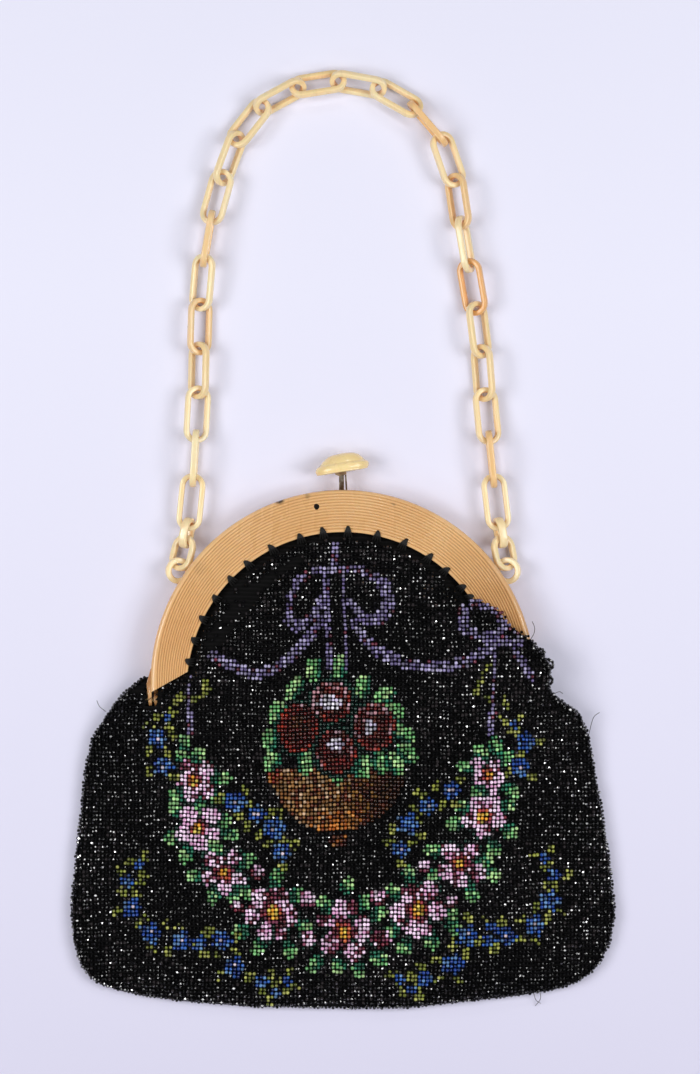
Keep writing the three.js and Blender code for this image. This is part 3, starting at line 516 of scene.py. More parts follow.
BASKET_GOLDS = [(160, 112, 60), (176, 134, 84), (128, 82, 42), (204, 170, 136), (112, 54, 30)]
BASKET_AMBERS = [(142, 98, 38), (122, 76, 28), (108, 48, 26)]
BASKET_BROWNS = [(84, 40, 20), (92, 50, 22), (74, 26, 18)]
BASKET_ORANGES = [(196, 116, 44), (170, 90, 32), (210, 138, 64)]
ROSE_REDS = [(88, 18, 18), (66, 14, 14), (104, 26, 22), (76, 32, 20)]
ROSE_RIMS = [(184, 134, 144), (158, 78, 74), (198, 160, 172)]
ROSE_RUSTS = [(150, 46, 30), (120, 30, 24)]
ROSE_LIGHTS = [(235, 228, 250), (215, 204, 234), (246, 242, 253)]
GREEN_GAPS = [(14, 48, 40), (10, 30, 26), (18, 64, 52)]
DIMMEST = 0.32
BRIGHTEST = 1.3

# Light, middle and dark tone of each celluloid, in the same measure
FRAME_TONES = [(242, 198, 142), (230, 180, 122), (158, 104, 54)]
CHAIN_TONES = [(255, 240, 198), (255, 226, 168), (232, 164, 86)]
KNOB_TONES = [(255, 229, 168), (255, 217, 148), (214, 152, 78)]

# Tones in linear light, as stops of a place and a colour where they run into each other
STAIN_BROWN = (0.022, 0.012, 0.008)
# Near-black painted shade for the inside of the front's pit
PIT_SHADE_STOPS = [(0.3, (0.008, 0.004, 0.003)), (0.7, STAIN_BROWN)]
STEM_STOPS = [(0.4, (0.10, 0.055, 0.03)), (0.62, (0.30, 0.26, 0.21))]
COLLAR_STOPS = [(0.4, (0.16, 0.09, 0.05)), (0.62, (0.42, 0.30, 0.18))]
PIN_STOPS = [(0.4, (0.16, 0.10, 0.04)), (0.62, (0.45, 0.34, 0.17))]
# Jet colour, lighter as the tone values rise with each bead's spark and with the painted sheen
JET_STOPS = [(0.0, (0.0015, 0.0015, 0.002)), (0.85, (0.004, 0.0035, 0.0045)), (1.0, (0.03, 0.025, 0.027))]
KNIT_STOPS = [(0.2, (0.001, 0.001, 0.001)), (0.9, (0.0035, 0.003, 0.0035))]
THREAD_STOPS = [(0.3, (0.002, 0.002, 0.002)), (0.7, (0.008, 0.007, 0.007))]
# Floor colour, with painted shade darker towards its near end
FLOOR_STOPS = [(0.0, (0.73, 0.71, 0.88)), (1.0, (0.85, 0.85, 1.0))]
FLOOR_FADE_Y = (-250.0, 100.0)

# Display colour to linear light
DISPLAY_FULL = 255.0
TOE_END = 0.04045
TOE_SLOPE = 12.92
CURVE_OFFSET = 0.055
CURVE_POWER = 2.4

# Places of two colours and of their mixture
MIX_FIRST = 6
MIX_SECOND = 7
MIX_RESULT = 2

# Studio
CAMERA_AIM = (2.8, 1.0, 8.0)
VIEW_HEIGHT = 429.6
SENSOR = 36.0
LENS = 100.0
FLOOR_SIZE = 6000.0
WORLD_LIGHT = (0.035, 0.035, 0.038)
LIGHT_AIM = (0.0, -30.0, 0.0)
LIGHT_ROWS = [
    # count, first azimuth, elevation, distance, size, radiance
    (2, 0.0, 46.0, 1250.0, 620.0, 5.55),
    (9, 10.0, 64.0, 1500.0, 100.0, 20.1),
    (8, 33.0, 40.0, 1500.0, 100.0, 20.1),
]


def linear(tone):
    """A display colour as linear light."""
    shares = np.array(tone) / DISPLAY_FULL
    curve = ((shares + CURVE_OFFSET) / (1.0 + CURVE_OFFSET)) ** CURVE_POWER
    return np.where(shares <= TOE_END, shares / TOE_SLOPE, curve)


def smooth_step(share):
    held = np.clip(share, 0.0, 1.0)
    return held * held * (3.0 - 2.0 * held)


# Materials
class Look:
    """A material, with short ways to add and join its nodes."""

    def __init__(self, name):
        self.material = bpy.data.materials.new(name)
        self.material.use_nodes = True
        self.tree = self.material.node_tree
        self.shader = self.tree.nodes["Principled BSDF"]

    def fill(self, node, inputs):
        """Joins each input to a socket, or sets it to a value."""
        for name, value in inputs.items():
            if isinstance(value, bpy.types.NodeSocket):
                self.tree.links.new(value, node.inputs[name])
            else:
                node.inputs[name].default_value = value

    def node(self, kind, inputs):
        node = self.tree.nodes.new(kind)
        self.fill(node, inputs)
        return node

    def shade(self, inputs):
        self.fill(self.shader, inputs)

    def place(self):
        return self.node("ShaderNodeTexCoord", {}).outputs["Object"]

    def noise(self, scale, detail=3.0, stretch=(1.0, 1.0, 1.0)):
        """Noise over the object's own space, with a scale in repeats to the metre."""
        mapping = self.node("ShaderNodeMapping", {"Vector": self.place(), "Scale": stretch})
        inputs = {"Vector": mapping.outputs["Vector"], "Scale": scale, "Detail": detail}
        return self.node("ShaderNodeTexNoise", inputs).outputs["Fac"]

    def ramp(self, share, stops):
        """A colour ramp over a share, from (place, linear colour) stops."""
        node = self.node("ShaderNodeValToRGB", {"Fac": share})
        elements = node.color_ramp.elements
        while len(elements) < len(stops):
            elements.new(0.5)
        for element, (place, colour) in zip(elements, stops):
            element.position = place
            element.color = (*colour, 1.0)
        return node.outputs["Color"]

    def mixed(self, share, base, colour):
        """A base mixed by a share with a linear colour."""
        node = self.tree.nodes.new("ShaderNodeMix")
        node.data_type = "RGBA"
        self.fill(node, {"Factor": share, MIX_FIRST: base, MIX_SECOND: (*colour, 1.0)})
        return node.outputs[MIX_RESULT]

    def attribute(self, name, output="Fac"):
        node = self.tree.nodes.new("ShaderNodeAttribute")
        node.attribute_name = name
        return node.outputs[output]

    def ranged(self, share, low, high):
        inputs = {"Value": share, "To Min": low, "To Max": high}
        return self.node("ShaderNodeMapRange", inputs).outputs["Result"]

    def bump(self, height, strength, depth):
        inputs = {"Height": height, "Strength": strength, "Distance": depth * MM}
        self.shade({"Normal": self.node("ShaderNodeBump", inputs).outputs["Normal"]})


def celluloid(name, tones):
    """Polished celluloid, cloudy along its length, darkened by its tone_and_shade values, which hold a darker
    tone and painted shade, and browned by its stain values.
    """
    look = Look(name)
    light, middle, dark = [linear(tone) for tone in tones]
    cloud = look.noise(scale=45.0, detail=4.0)
    streak = look.noise(scale=260.0, detail=2.0, stretch=(1.0, 0.25, 1.0))
    base = look.ramp(cloud, [(0.3, middle), (0.7, light)])
    base = look.mixed(look.ranged(streak, low=0.0, high=0.35), base, middle)
    # Mixes in the dark tone for a darker tone and for painted shade
    base = look.mixed(look.attribute("tone_and_shade"), base, dark)
    base = look.mixed(look.attribute("stain"), base, STAIN_BROWN)
    look.shade({
        "Base Color": base,
        "Roughness": look.ranged(streak, low=0.2, high=0.36),
        "Coat Weight": 0.5,
        "Coat Roughness": 0.1,
        "Subsurface Weight": 0.12,
        "Subsurface Radius": (0.003, 0.0015, 0.0006),
        "Subsurface Scale": 0.5,
    })
    look.bump(look.noise(scale=1800.0, detail=2.0), strength=0.06, depth=0.2)
    return look.material


def tarnished(name, stops, roughness):
    """Metal with dull brown blotches."""
    look = Look(name)
    blotch = look.noise(scale=420.0, detail=5.0)
    look.shade({
        "Base Color": look.ramp(blotch, stops),
        "Roughness": look.ranged(blotch, low=roughness + 0.2, high=roughness),
        "Metallic": 0.9,
    })
    look.bump(blotch, strength=0.2, depth=0.2)
    return look.material


# Painted shade for the inside of the pit: a near-black brown
def pit_shade_look():
    look = Look("pit_shade_material")
    look.shade({"Base Color": look.ramp(look.noise(scale=1500.0), PIT_SHADE_STOPS), "Roughness": 0.8})
    return look.material


def black_glass():
    """Jet beads: near black, with a little colour from bead to bead, and painted sheen and shade that lighten
    the colour and raise the shine in slow waves over the cloth.
    """
    look = Look("black_glass")
    tone = look.attribute("tone")
    look.shade({
        "Base Color": look.ramp(tone, JET_STOPS),
        "Roughness": look.ranged(tone, low=0.2, high=0.06),
        "Specular IOR Level": look.ranged(tone, low=0.16, high=1.0),
        "Coat Weight": look.ranged(tone, low=-1.2, high=1.0),
        "IOR": 1.7,
    })
    return look.material


def coloured_glass():
    look = Look("coloured_glass")
    look.shade({
        "Base Color": look.attribute("bead_colour", "Color"),
        "Roughness": look.ranged(look.noise(scale=900.0, detail=1.0), low=0.12, high=0.3),
        "Coat Weight": 0.25,
        "Coat Roughness": 0.08,
    })
    return look.material


def black_cloth():
    """Fine black knit: rows of loops the beads are sewn to."""
    look = Look("black_cloth")
    inputs = {"Vector": look.place(), "Scale": 200.0, "Distortion": 2.0, "Detail": 2.0}
    wave = look.node("ShaderNodeTexWave", inputs)
    wave.bands_direction = "Y"
    loops = wave.outputs["Fac"]
    look.shade({"Base Color": look.ramp(loops, KNIT_STOPS), "Roughness": 0.9, "Specular IOR Level": 0.15})
    look.bump(loops, strength=0.6, depth=0.4)
    return look.material


def black_thread():
    look = Look("black_thread")
    twist = look.noise(scale=2600.0, detail=2.0, stretch=(1.0, 0.4, 1.0))
    look.shade({"Base Color": look.ramp(twist, THREAD_STOPS), "Roughness": 0.7})
    look.bump(twist, strength=0.5, depth=0.2)
    return look.material


def floor_paper():
    """Pale paper, with painted shade that makes it a little darker towards its near end."""
    look = Look("pale_paper")
    along = look.node("ShaderNodeSeparateXYZ", {"Vector": look.place()}).outputs["Y"]
    low, high = FLOOR_FADE_Y
    inputs = {"Value": along, "From Min": low * MM, "From Max": high * MM}
    rise = look.node("ShaderNodeMapRange", inputs).outputs["Result"]
    look.shade({"Base Color": look.ramp(rise, FLOOR_STOPS), "Roughness": 0.8, "Specular IOR Level": 0.2})
    return look.material


FRAME_CELLULOID = celluloid("frame_celluloid", FRAME_TONES)
CHAIN_CELLULOID = celluloid("chain_celluloid", CHAIN_TONES)
KNOB_CELLULOID = celluloid("knob_celluloid", KNOB_TONES)
PIT_SHADE = pit_shade_look()
STEM_METAL = tarnished("stem_metal", STEM_STOPS, roughness=0.32)
COLLAR_METAL = tarnished("collar_metal", COLLAR_STOPS, roughness=0.45)
PIN_METAL = tarnished("pin_metal", PIN_STOPS, roughness=0.3)
BLACK_GLASS = black_glass()
COLOURED_GLASS = coloured_glass()
BLACK_CLOTH = black_cloth()
BLACK_THREAD = black_thread()


# Meshes
def add_mesh(name, points, faces, material, smooth=True):
    """An object from points in millimetres and faces that are rows of corners."""
    mesh = bpy.data.meshes.new(name)
    coordinates = np.asarray(points, dtype=np.float32) * MM
    if isinstance(faces, np.ndarray):
        mesh.vertices.add(len(coordinates))
        mesh.vertices.foreach_set("co", coordinates.ravel())
        mesh.loops.add(faces.size)
        mesh.loops.foreach_set("vertex_index", faces.astype(np.int32).ravel())
        mesh.polygons.add(len(faces))
        starts = np.arange(0, faces.size, faces.shape[1], dtype=np.int32)
        mesh.polygons.foreach_set("loop_start", starts)
    else:
        mesh.from_pydata(coordinates.tolist(), [], faces)
    mesh.update(calc_edges=True)
    mesh.validate()
    if smooth:
        mesh.shade_smooth()
    else:
        mesh.shade_flat()
    mesh.materials.append(material)
    piece = bpy.data.objects.new(name, mesh)
    bpy.context.scene.collection.objects.link(piece)
    return piece


def point_values(piece, name, values):
    layer = piece.data.attributes.new(name, "FLOAT", "POINT")
    layer.data.foreach_set("value", np.asarray(values, dtype=np.float32))


def point_colours(piece, name, colours):
    layer = piece.data.attributes.new(name, "FLOAT_COLOR", "POINT")
    filled = np.ones((len(colours), 4), dtype=np.float32)
    filled[:, :3] = colours
    layer.data.foreach_set("color", filled.ravel())


def settle(piece, body, slot, *nodes):
    """Rides a finished piece on its body, and hides the solids that it stands for."""
    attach(piece, body)
    if nodes:
        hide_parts(*nodes)


def apply_modifiers(piece):
    graph = bpy.context.evaluated_depsgraph_get()
    mesh = bpy.data.meshes.new_from_object(piece.evaluated_get(graph))
    piece.modifiers.clear()
    piece.data = mesh


def combine(piece, other, operation):
    """Joins or cuts with another closed object, which is then gone."""
    modifier = piece.modifiers.new("combine", "BOOLEAN")
    modifier.operation = operation
    modifier.object = other
    modifier.solver = "EXACT"
    apply_modifiers(piece)
    bpy.data.objects.remove(other)


def bevel(piece, width, segments):
    modifier = piece.modifiers.new("bevel", "BEVEL")
    modifier.width = width * MM
    modifier.segments = segments
    apply_modifiers(piece)


def ring_faces(rings, sides, closed):
    """Quads over rings of points, each with the same number of sides."""
    row, column = np.meshgrid(np.arange(rings if closed else rings - 1), np.arange(sides), indexing="ij")
    here = row * sides
    onward = (row + 1) % rings * sides
    beside = (column + 1) % sides
    corners = [here + column, here + beside, onward + beside, onward + column]
    return np.stack(corners, axis=-1).reshape(-1, 4)


def capped(rings):
    """Points and faces of a solid through rings of points, with a face over each end."""
    sides = len(rings[0])
    points = np.concatenate(rings)
    faces = [tuple(face) for face in ring_faces(len(rings), sides, False)]
    faces.append(tuple(range(sides))[::-1])
    faces.append(tuple(range(len(points) - sides, len(points))))
    return points, faces


def facing_out(points, faces):
    """The same faces, all turned round if they enclose a negative volume."""
    volume = 0.0
    for face in faces:
        first = points[face[0]]
        for second, third in zip(face[1:-1], face[2:]):
            volume += np.dot(first, np.cross(points[second], points[third]))
    return faces if volume > 0 else [tuple(face)[::-1] for face in faces]


def joined_shapes(shapes):
    points = []
    faces = []
    count = 0
    for shape_points, shape_faces in shapes:
        points.append(shape_points)
        faces.extend([tuple(int(corner) + count for corner in face) for face in shape_faces])
        count += len(shape_points)
    return np.concatenate(points), faces


def circle_turns(sides):
    return np.arange(sides) * 2.0 * math.pi / sides


def tube_shape(path, radius, sides):
    """A closed tube along a path of points."""
    path = np.asarray(path, dtype=float)
    along = np.gradient(path, axis=0)
    along /= np.linalg.norm(along, axis=1, keepdims=True)
    across = np.cross(along, TUBE_HELPER)
    across /= np.linalg.norm(across, axis=1, keepdims=True)
    up = np.cross(across, along)
    turn = circle_turns(sides)[None, :, None]
    return capped(path[:, None] + radius * (np.cos(turn) * across[:, None] + np.sin(turn) * up[:, None]))


def curve_through(points, steps):
    """A smooth path through points, with that many steps from one to the next."""
    points = np.asarray(points, dtype=float)
    padded = np.vstack([2 * points[0] - points[1], points, 2 * points[-1] - points[-2]])
    path = []
    for before, start, end, after in zip(padded, padded[1:], padded[2:], padded[3:]):
        slope = end - before
        bend = 2 * before - 5 * start + 4 * end - after
        twist = 3 * start - before - 3 * end + after
        for t in np.arange(steps) / steps:
            path.append(start + 0.5 * (slope * t + bend * t**2 + twist * t**3))
    path.append(points[-1])
    return np.array(path)


# Frame
def rim_point(angle):
    return np.array([ARCH_RADIUS * math.cos(angle), ARCH_CENTRE_Y + ARCH_RADIUS * math.sin(angle)])


def mouth_point(angle):
    across = MOUTH_DROP * math.cos(angle)
    reach = math.sqrt(MOUTH_RADIUS**2 - across**2) - MOUTH_DROP * math.sin(angle)
    return np.array([reach * math.cos(angle), ARCH_CENTRE_Y + reach * math.sin(angle)])


def rim_drop(inward):
    """How far the rounded rim falls below the face, at a distance in from the outer edge."""
    short = np.clip(RIM_ROUND - inward, 0.0, RIM_ROUND)
    return RIM_ROUND - np.sqrt(RIM_ROUND**2 - short**2)


def band_section(width, foot, rim_share):
    """Distance in from the rim, height and darkening round the section of a frame half: darker grooves, and
    painted shade on the foot, the mouth's edge and the inside faces.

    The reeding starts close to the rim at the top of the arch and further in towards its ends.
    """
    top = FRAME_DEPTH
    start = RIM_LAND + rim_share * RIM_ROUND
    section = [(0.0, foot, FOOT_SHADE)]
    for turn in np.linspace(0.0, math.pi / 2, RIM_STEPS, endpoint=False):
        inward = start * (1 - math.cos(turn))
        section.append((inward, top - rim_drop(inward), 0.0))
    pitch = (width - MOUTH_LAND - start) / GROOVE_COUNT
    for i in range(GROOVE_COUNT * GROOVE_STEPS + 1):
        sink = (0.5 - 0.5 * math.cos(2 * math.pi * i / GROOVE_STEPS)) ** 2
        inward = start + i * pitch / GROOVE_STEPS
        section.append((inward, top - rim_drop(inward) - GROOVE_DEPTH * sink, GROOVE_DARKENING * sink))
    section += [
        (width - MOUTH_EDGE_ROUND, top - MOUTH_EDGE_SAG, 0.0),
        (width, top - MOUTH_EDGE_DROP, MOUTH_EDGE_SHADE),
        (width, top - PLATE_THICK, INSIDE_SHADE),
        (RIM_THICK, top - PLATE_THICK, INSIDE_SHADE),
        (RIM_THICK, foot, INSIDE_SHADE),
    ]
    return np.array(section)


def arch_angle(part, end_deg):
    return math.radians(end_deg + part * (180 - 2 * end_deg))


def band_shape(foot):
    """Points, faces and darkening of a half's arched band, with painted shade towards its right end."""
    rings = []
    darkening = []
    for part in np.linspace(0.0, 1.0, ARCH_STEPS + 1):
        rim = rim_point(arch_angle(part, RIM_END_DEG))
        mouth = mouth_point(arch_angle(part, MOUTH_END_DEG))
        width = np.linalg.norm(rim - mouth)
        from_top = abs(2 * part - 1)
        section = band_section(width, foot, from_top**GROOVE_SPREAD)
        place = rim + (mouth - rim) * (section[:, :1] / width)
        rings.append(np.column_stack([place, section[:, 1]]))
        # Painted shade towards the ends of the arch, all of it at the right end
        end_shade_share = END_SHADE["right" if part < 0.5 else "left"]
        darkening.append(section[:, 2] + end_shade_share * smooth_step((from_top - END_SHADE_FROM) / END_SHADE_REACH))
    return *capped(rings), np.concatenate(darkening)


def turned_over(points, mirror_z):
    return points * (1, 1, -1) + (0, 0, mirror_z)


def stain_values(points):
    """Stains of the face, and a dark spot on the rim. A mark at full strength keeps to the rim's outer edge.
    """
    x, y, z = points.T
    stain = np.zeros(len(points))
    near_face = smooth_step((z - PARTING_Z) / (FRAME_DEPTH - PARTING_Z))
    for stain_x, stain_y, radius, strength in FRAME_STAINS:
        away = np.hypot(x - stain_x, y - stain_y) / radius
        stain = np.maximum(stain, strength * smooth_step(2.0 - 2.0 * away) * near_face)
    outside = np.hypot(x, y - ARCH_CENTRE_Y) > ARCH_RADIUS - STAIN_REACH
    return np.where((stain > FULL_STAIN) & ~outside, 0.0, stain)


def ear_shape(is_front, side):
    """A half's hinge ear, set out along X on one side."""
    inner_x = FRONT_EAR_X if is_front else BACK_EAR_X
    foot = PARTING_Z + PARTING_GAP / 2
    top = foot + EAR_ROOT_HEIGHT
    flare_y = EAR_ROOT_Y + EAR_FLARE
    outline = [(EAR_ROOT_Y, foot), (flare_y, foot), (flare_y, top), (EAR_ROOT_Y, top)]
    for turn in np.linspace(math.pi / 2, 2 * math.pi, EAR_ROUND_STEPS):
        outline.append((HINGE_Y + EAR_RADIUS * math.cos(turn), PARTING_Z + EAR_RADIUS * math.sin(turn)))
    outline.append((HINGE_Y + EAR_RADIUS + GAP, foot))
    places = (HINGE_Y - EAR_RADIUS, EAR_ROOT_Y, flare_y)
    thicknesses = (EAR_THICK * (1.0 - EAR_TAPER), EAR_THICK, EAR_FLARE_THICK)
    inner = [(side * inner_x, y, z) for y, z in outline]
    outer = [(side * (inner_x + np.interp(y, places, thicknesses)), y, z) for y, z in outline]
    points, faces = capped([inner, outer])
    if not is_front:
        points = turned_over(points, 2 * PARTING_Z)
    return points, facing_out(points, faces)


def add_ears(piece, is_front):
    shapes = [ear_shape(is_front, side) for side in (-1, 1)]
    ears = add_mesh("ears", *joined_shapes(shapes), FRAME_CELLULOID)
    bevel(ears, **EAR_BEVEL)
    combine(piece, ears, "UNION")


def pin_bore(side):
    reach = np.linspace(BACK_EAR_X - EAR_THICK, FRONT_EAR_X + 2 * EAR_THICK, BORE_STEPS)
    return tube_shape([(side * x, HINGE_Y, PARTING_Z) for x in reach], PIN_RADIUS + GAP, BORE_SIDES)


def plate_pit():
    heights = (FRAME_DEPTH - PLATE_PIT["depth"], FRAME_DEPTH, FRAME_DEPTH + PLATE_PIT["rise"])
    path = [(PLATE_PIT["x"], PLATE_PIT["y"], z) for z in heights]
    return tube_shape(path, PLATE_PIT["radius"], BORE_SIDES)


def cut_ways(piece, is_front):
    """Cuts the ways of the stem, the pins and the chain's end rings, and the pit of the front."""
    cuts = [slab(STEM_NOTCH), pin_bore(-1), pin_bore(1)]
    cuts += [link_shape("frame_ring_left", GAP), link_shape("frame_ring_right", GAP)]
    if is_front:
        cuts.append(plate_pit())
    shapes = [(points, facing_out(points, faces)) for points, faces in cuts]
    combine(piece, add_mesh("cuts", *joined_shapes(shapes), FRAME_CELLULOID), "DIFFERENCE")


def dress_half(piece, is_front):
    """Celluloid all over, with painted shade in the pit of the front."""
    piece.data.materials.clear()
    piece.data.materials.append(FRAME_CELLULOID)
    piece.data.materials.append(PIT_SHADE)
    for polygon in piece.data.polygons:
        middle = polygon.center / MM
        away = math.hypot(middle.x - PLATE_PIT["x"], middle.y - PLATE_PIT["y"])
        polygon.material_index = 1 if is_front and away < PLATE_PIT["radius"] + PIT_MARGIN else 0
    piece.data.set_sharp_from_angle(angle=math.radians(FRAME_SHARP_DEG))


def build_frame_half(name, is_front):
    """One half of the frame, with its ears and the ways cut through it."""
    parting = PARTING_Z if is_front else FRAME_DEPTH - PARTING_Z
    points, faces, darkening = band_shape(parting + PARTING_GAP / 2)
    if not is_front:
        points = turned_over(points, FRAME_DEPTH)
    piece = add_mesh(name, points, facing_out(points, faces), FRAME_CELLULOID)
    # The band's darker grooves and its painted shade
    point_values(piece, "tone_and_shade", darkening)
    point_values(piece, "stain", stain_values(points))
    add_ears(piece, is_front)
    cut_ways(piece, is_front)
    dress_half(piece, is_front)
    settle(piece, "bag", "celluloid_frame", name)


# Chain
def node_points(name):
    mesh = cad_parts[name].data
    points = np.zeros(len(mesh.vertices) * 3, dtype=np.float32)
    mesh.vertices.foreach_get("co", points)
    return points.reshape(-1, 3).astype(float) / MM


def link_kind(name):
    return name.rsplit("_", 1)[0]


def squared(wave):
    """A wave of the turn, drawn out so that a section becomes a rounded square."""
    return np.sign(wave) * np.abs(wave) ** (2.0 / LINK_SQUARENESS)


def link_shape(name, grow=0.0):
    """A smooth link in the place of its solid: its long, wide and thin directions come from that solid."""
    solid = np.unique(np.round(node_points(name), SOLID_DIGITS), axis=0)
    centre = solid.mean(axis=0)
    directions = np.linalg.svd(solid - centre)[2]
    length, width, _ = np.ptp((solid - centre) @ directions.T, axis=0)
    wire, depth = LINK_WIRES[link_kind(name)]
    end_radius = (width - wire) / 2
    straight = max(length - width, 0.0) / 2
    turn = circle_turns(LINK_SECTION_SIDES)
    out = (wire / 2 + grow) * squared(np.cos(turn))
    up = (depth / 2 + grow) * squared(np.sin(turn))
    reach = end_radius + out
    rings = []
    for end in (1, -1):
        for angle in np.linspace(0, math.pi, LINK_END_STEPS + 1) + (end - 1) * math.pi / 2:
            along = end * straight + reach * math.sin(angle)
            rings.append(np.column_stack([along, reach * math.cos(angle), up]))
        if straight > LEAST_STRAIGHT:
            for share in np.linspace(1, -1, LINK_SIDE_STEPS + 2)[1:-1]:
                along = np.full_like(out, end * share * straight)
                rings.append(np.column_stack([along, -end * reach, up]))
    points = np.concatenate(rings) @ directions + centre
    return points, ring_faces(len(rings), LINK_SECTION_SIDES, True)


def link_shade(count):
    """Painted shade of a link's points: on its inner face, and most of all where the next link hangs in it.
    """
    inner = smooth_step(-np.cos(circle_turns(LINK_SECTION_SIDES)) - INNER_FACE_FROM)
    end_rings = np.sin(np.linspace(0, math.pi, LINK_END_STEPS + 1)) ** CONTACT_NARROWNESS
    side_rings = np.zeros(count // LINK_SECTION_SIDES // 2 - len(end_rings))
    contact = np.tile(np.concatenate([end_rings, side_rings]), 2)
    return np.outer(INNER_FACE_SHADE + CONTACT_SHADE * contact, inner).ravel()


def build_chain():
    for name in sorted(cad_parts):
        if link_kind(name) not in LINK_WIRES:
            continue
        points, faces = link_shape(name)
        piece = add_mesh(name + "_smooth", points, facing_out(points, faces), CHAIN_CELLULOID)
        warmth = ORANGE_LINKS.get(name, 0.0) + random.uniform(0.0, WARMTH_SPREAD)
        # The link's own warmth of tone, with painted shade on its inner face and where the next link hangs in
        # it
        point_values(piece, "tone_and_shade", np.clip(warmth + link_shade(len(points)), 0.0, 1.0))
        settle(piece, "bag", "celluloid_chain", name)


# Clasp
def knob_shape():
    """The flattened and leaning round of the knob's profile, closed by a fan at its foot and its tip."""
    profile = curve_through(KNOB_PROFILE, KNOB_STEPS)
    radius = np.maximum(profile[1:-1, :1], 0.0)
    height = profile[1:-1, 1:]
    turn = circle_turns(KNOB_SIDES)
    rows = [
        radius * np.cos(turn) + KNOB_LEAN * height,
        np.repeat(height, KNOB_SIDES, axis=1),
        KNOB_FLATNESS * radius * np.sin(turn),
    ]
    rings = np.stack(rows, axis=-1).reshape(-1, 3)
    poles = [(KNOB_LEAN * pole, pole, 0.0) for pole in profile[[0, -1], 1]]
    faces = [tuple(face) for face in ring_faces(len(radius), KNOB_SIDES, False)]
    last = len(rings) - KNOB_SIDES
    for i in range(KNOB_SIDES):
        j = (i + 1) % KNOB_SIDES
        faces.append((len(rings), j, i))
        faces.append((len(rings) + 1, last + i, last + j))
    tilt = math.radians(KNOB_TILT_DEG)
    turned = [[math.cos(tilt), math.sin(tilt), 0], [-math.sin(tilt), math.cos(tilt), 0], [0, 0, 1]]
    points = np.vstack([rings, poles]) @ np.array(turned) + KNOB_SEAT
    return points, facing_out(points, faces)


def build_knob():
    points, faces = knob_shape()
    knob = add_mesh("knob_smooth", points, faces, KNOB_CELLULOID)
    # Painted shade, darker towards the floor
    point_values(knob, "tone_and_shade", np.maximum(KNOB_LOW_SHADE - KNOB_SHADE_FADE * points[:, 2], 0.0))
    settle(knob, "clasp", "celluloid_knob", "clasp_knob")


def dress_pins():
    for name in ("hinge_pin_left", "hinge_pin_right"):
        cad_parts[name].data.materials.clear()
        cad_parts[name].data.materials.append(PIN_METAL)


def prism(outline, thick):
    """An upright slab over an outline in X and Y, half above and half below the parting of the frame."""
    points, faces = capped([[(x, y, PARTING_Z + side * thick / 2) for x, y in outline] for side in (-1, 1)])
    return points, facing_out(points, faces)


def slab(size):
    left, right, bottom, top = [size[edge] for edge in ("left", "right", "bottom", "top")]
    return prism([(left, bottom), (right, bottom), (right, top), (left, top)], size["thick"])


def strand_shape():
    low = CATCH["bottom"] + GAP
    high = STEM["top"] - GAP
    foot, head, width = STRAND["bottom_x"], STRAND["top_x"], STRAND["width"]
    return prism([(foot, low), (foot + width, low), (head + width, high), (head, high)], STRAND["thick"])


def seat_height(x):
    """Y of the tilted knob's underside, a little inside it."""
    return KNOB_SEAT[1] + (x - KNOB_SEAT[0]) * math.tan(math.radians(KNOB_TILT_DEG)) + GAP / 2


def collar_shape():
    left, right, bottom = COLLAR["left"], COLLAR["right"], COLLAR["bottom"]
    shoulder = bottom + COLLAR["rise"] / 2
    outline = [(STEM["left"], bottom), (right, shoulder), (right, seat_height(right))]
    outline += [(left, seat_height(left)), (left, shoulder)]
    return prism(outline, COLLAR["thick"])


def build_stem():
    """The flat stem with its spring strand and hidden catch, and the collar that the knob sits on."""
    collar = collar_shape()
    shapes = [slab(STEM), slab(CATCH), strand_shape(), collar]
    stem = add_mesh("stem_smooth", *joined_shapes(shapes), STEM_METAL, smooth=False)
    stem.data.materials.append(COLLAR_METAL)
    for polygon in stem.data.polygons[-len(collar[1]):]:
        polygon.material_index = 1
    bevel(stem, **STEM_BEVEL)
    settle(stem, "clasp", "clasp_metal", "clasp_stem")


# Pouch form
def fine_levels():
    """Every column of the level table, smoothed over closely spaced heights."""
    rows = []
    for y, left, right, *heights in POUCH_LEVELS:
        arch = math.sqrt(max(POUCH_ARCH_RADIUS**2 - (y - ARCH_CENTRE_Y) ** 2, 0.0))
        rows.append((y, -arch if left is None else left, arch if right is None else right, *heights))
    table = np.array(rows)[::-1]
    fine_y = np.arange(table[0, 0], table[-1, 0] + LEVEL_STEP, LEVEL_STEP)
    kernel = np.ones(LEVEL_SMOOTHING) / LEVEL_SMOOTHING
    columns = []
    for column in table.T[1:]:
        exact = np.interp(fine_y, table[:, 0], column)
        padded = np.pad(exact, LEVEL_SMOOTHING // 2, mode="edge")
        columns.append(np.convolve(padded, kernel, mode="valid"))
    return fine_y, columns


FINE_Y, FINE_COLUMNS = fine_levels()


def level_at(y):
    """Left, right, crown, left edge and right edge of the pouch at a height."""
    return [np.interp(y, FINE_Y, column) for column in FINE_COLUMNS]


def pouch_outline():
    """The outer edge of the pouch, from the left hinge round the bottom to the end of the lap."""
    left_y = np.arange(LEFT_SIDE_TOP_Y, POUCH_BOTTOM_Y, -OUTLINE_STEP)
    right_y = np.arange(POUCH_BOTTOM_Y, LAP_EDGE_Y[-1], OUTLINE_STEP)
    left_side = np.column_stack([level_at(left_y)[0], left_y])
    right_side = np.column_stack([level_at(right_y)[1], right_y])
    return np.vstack([left_side, right_side])


OUTLINE = pouch_outline()


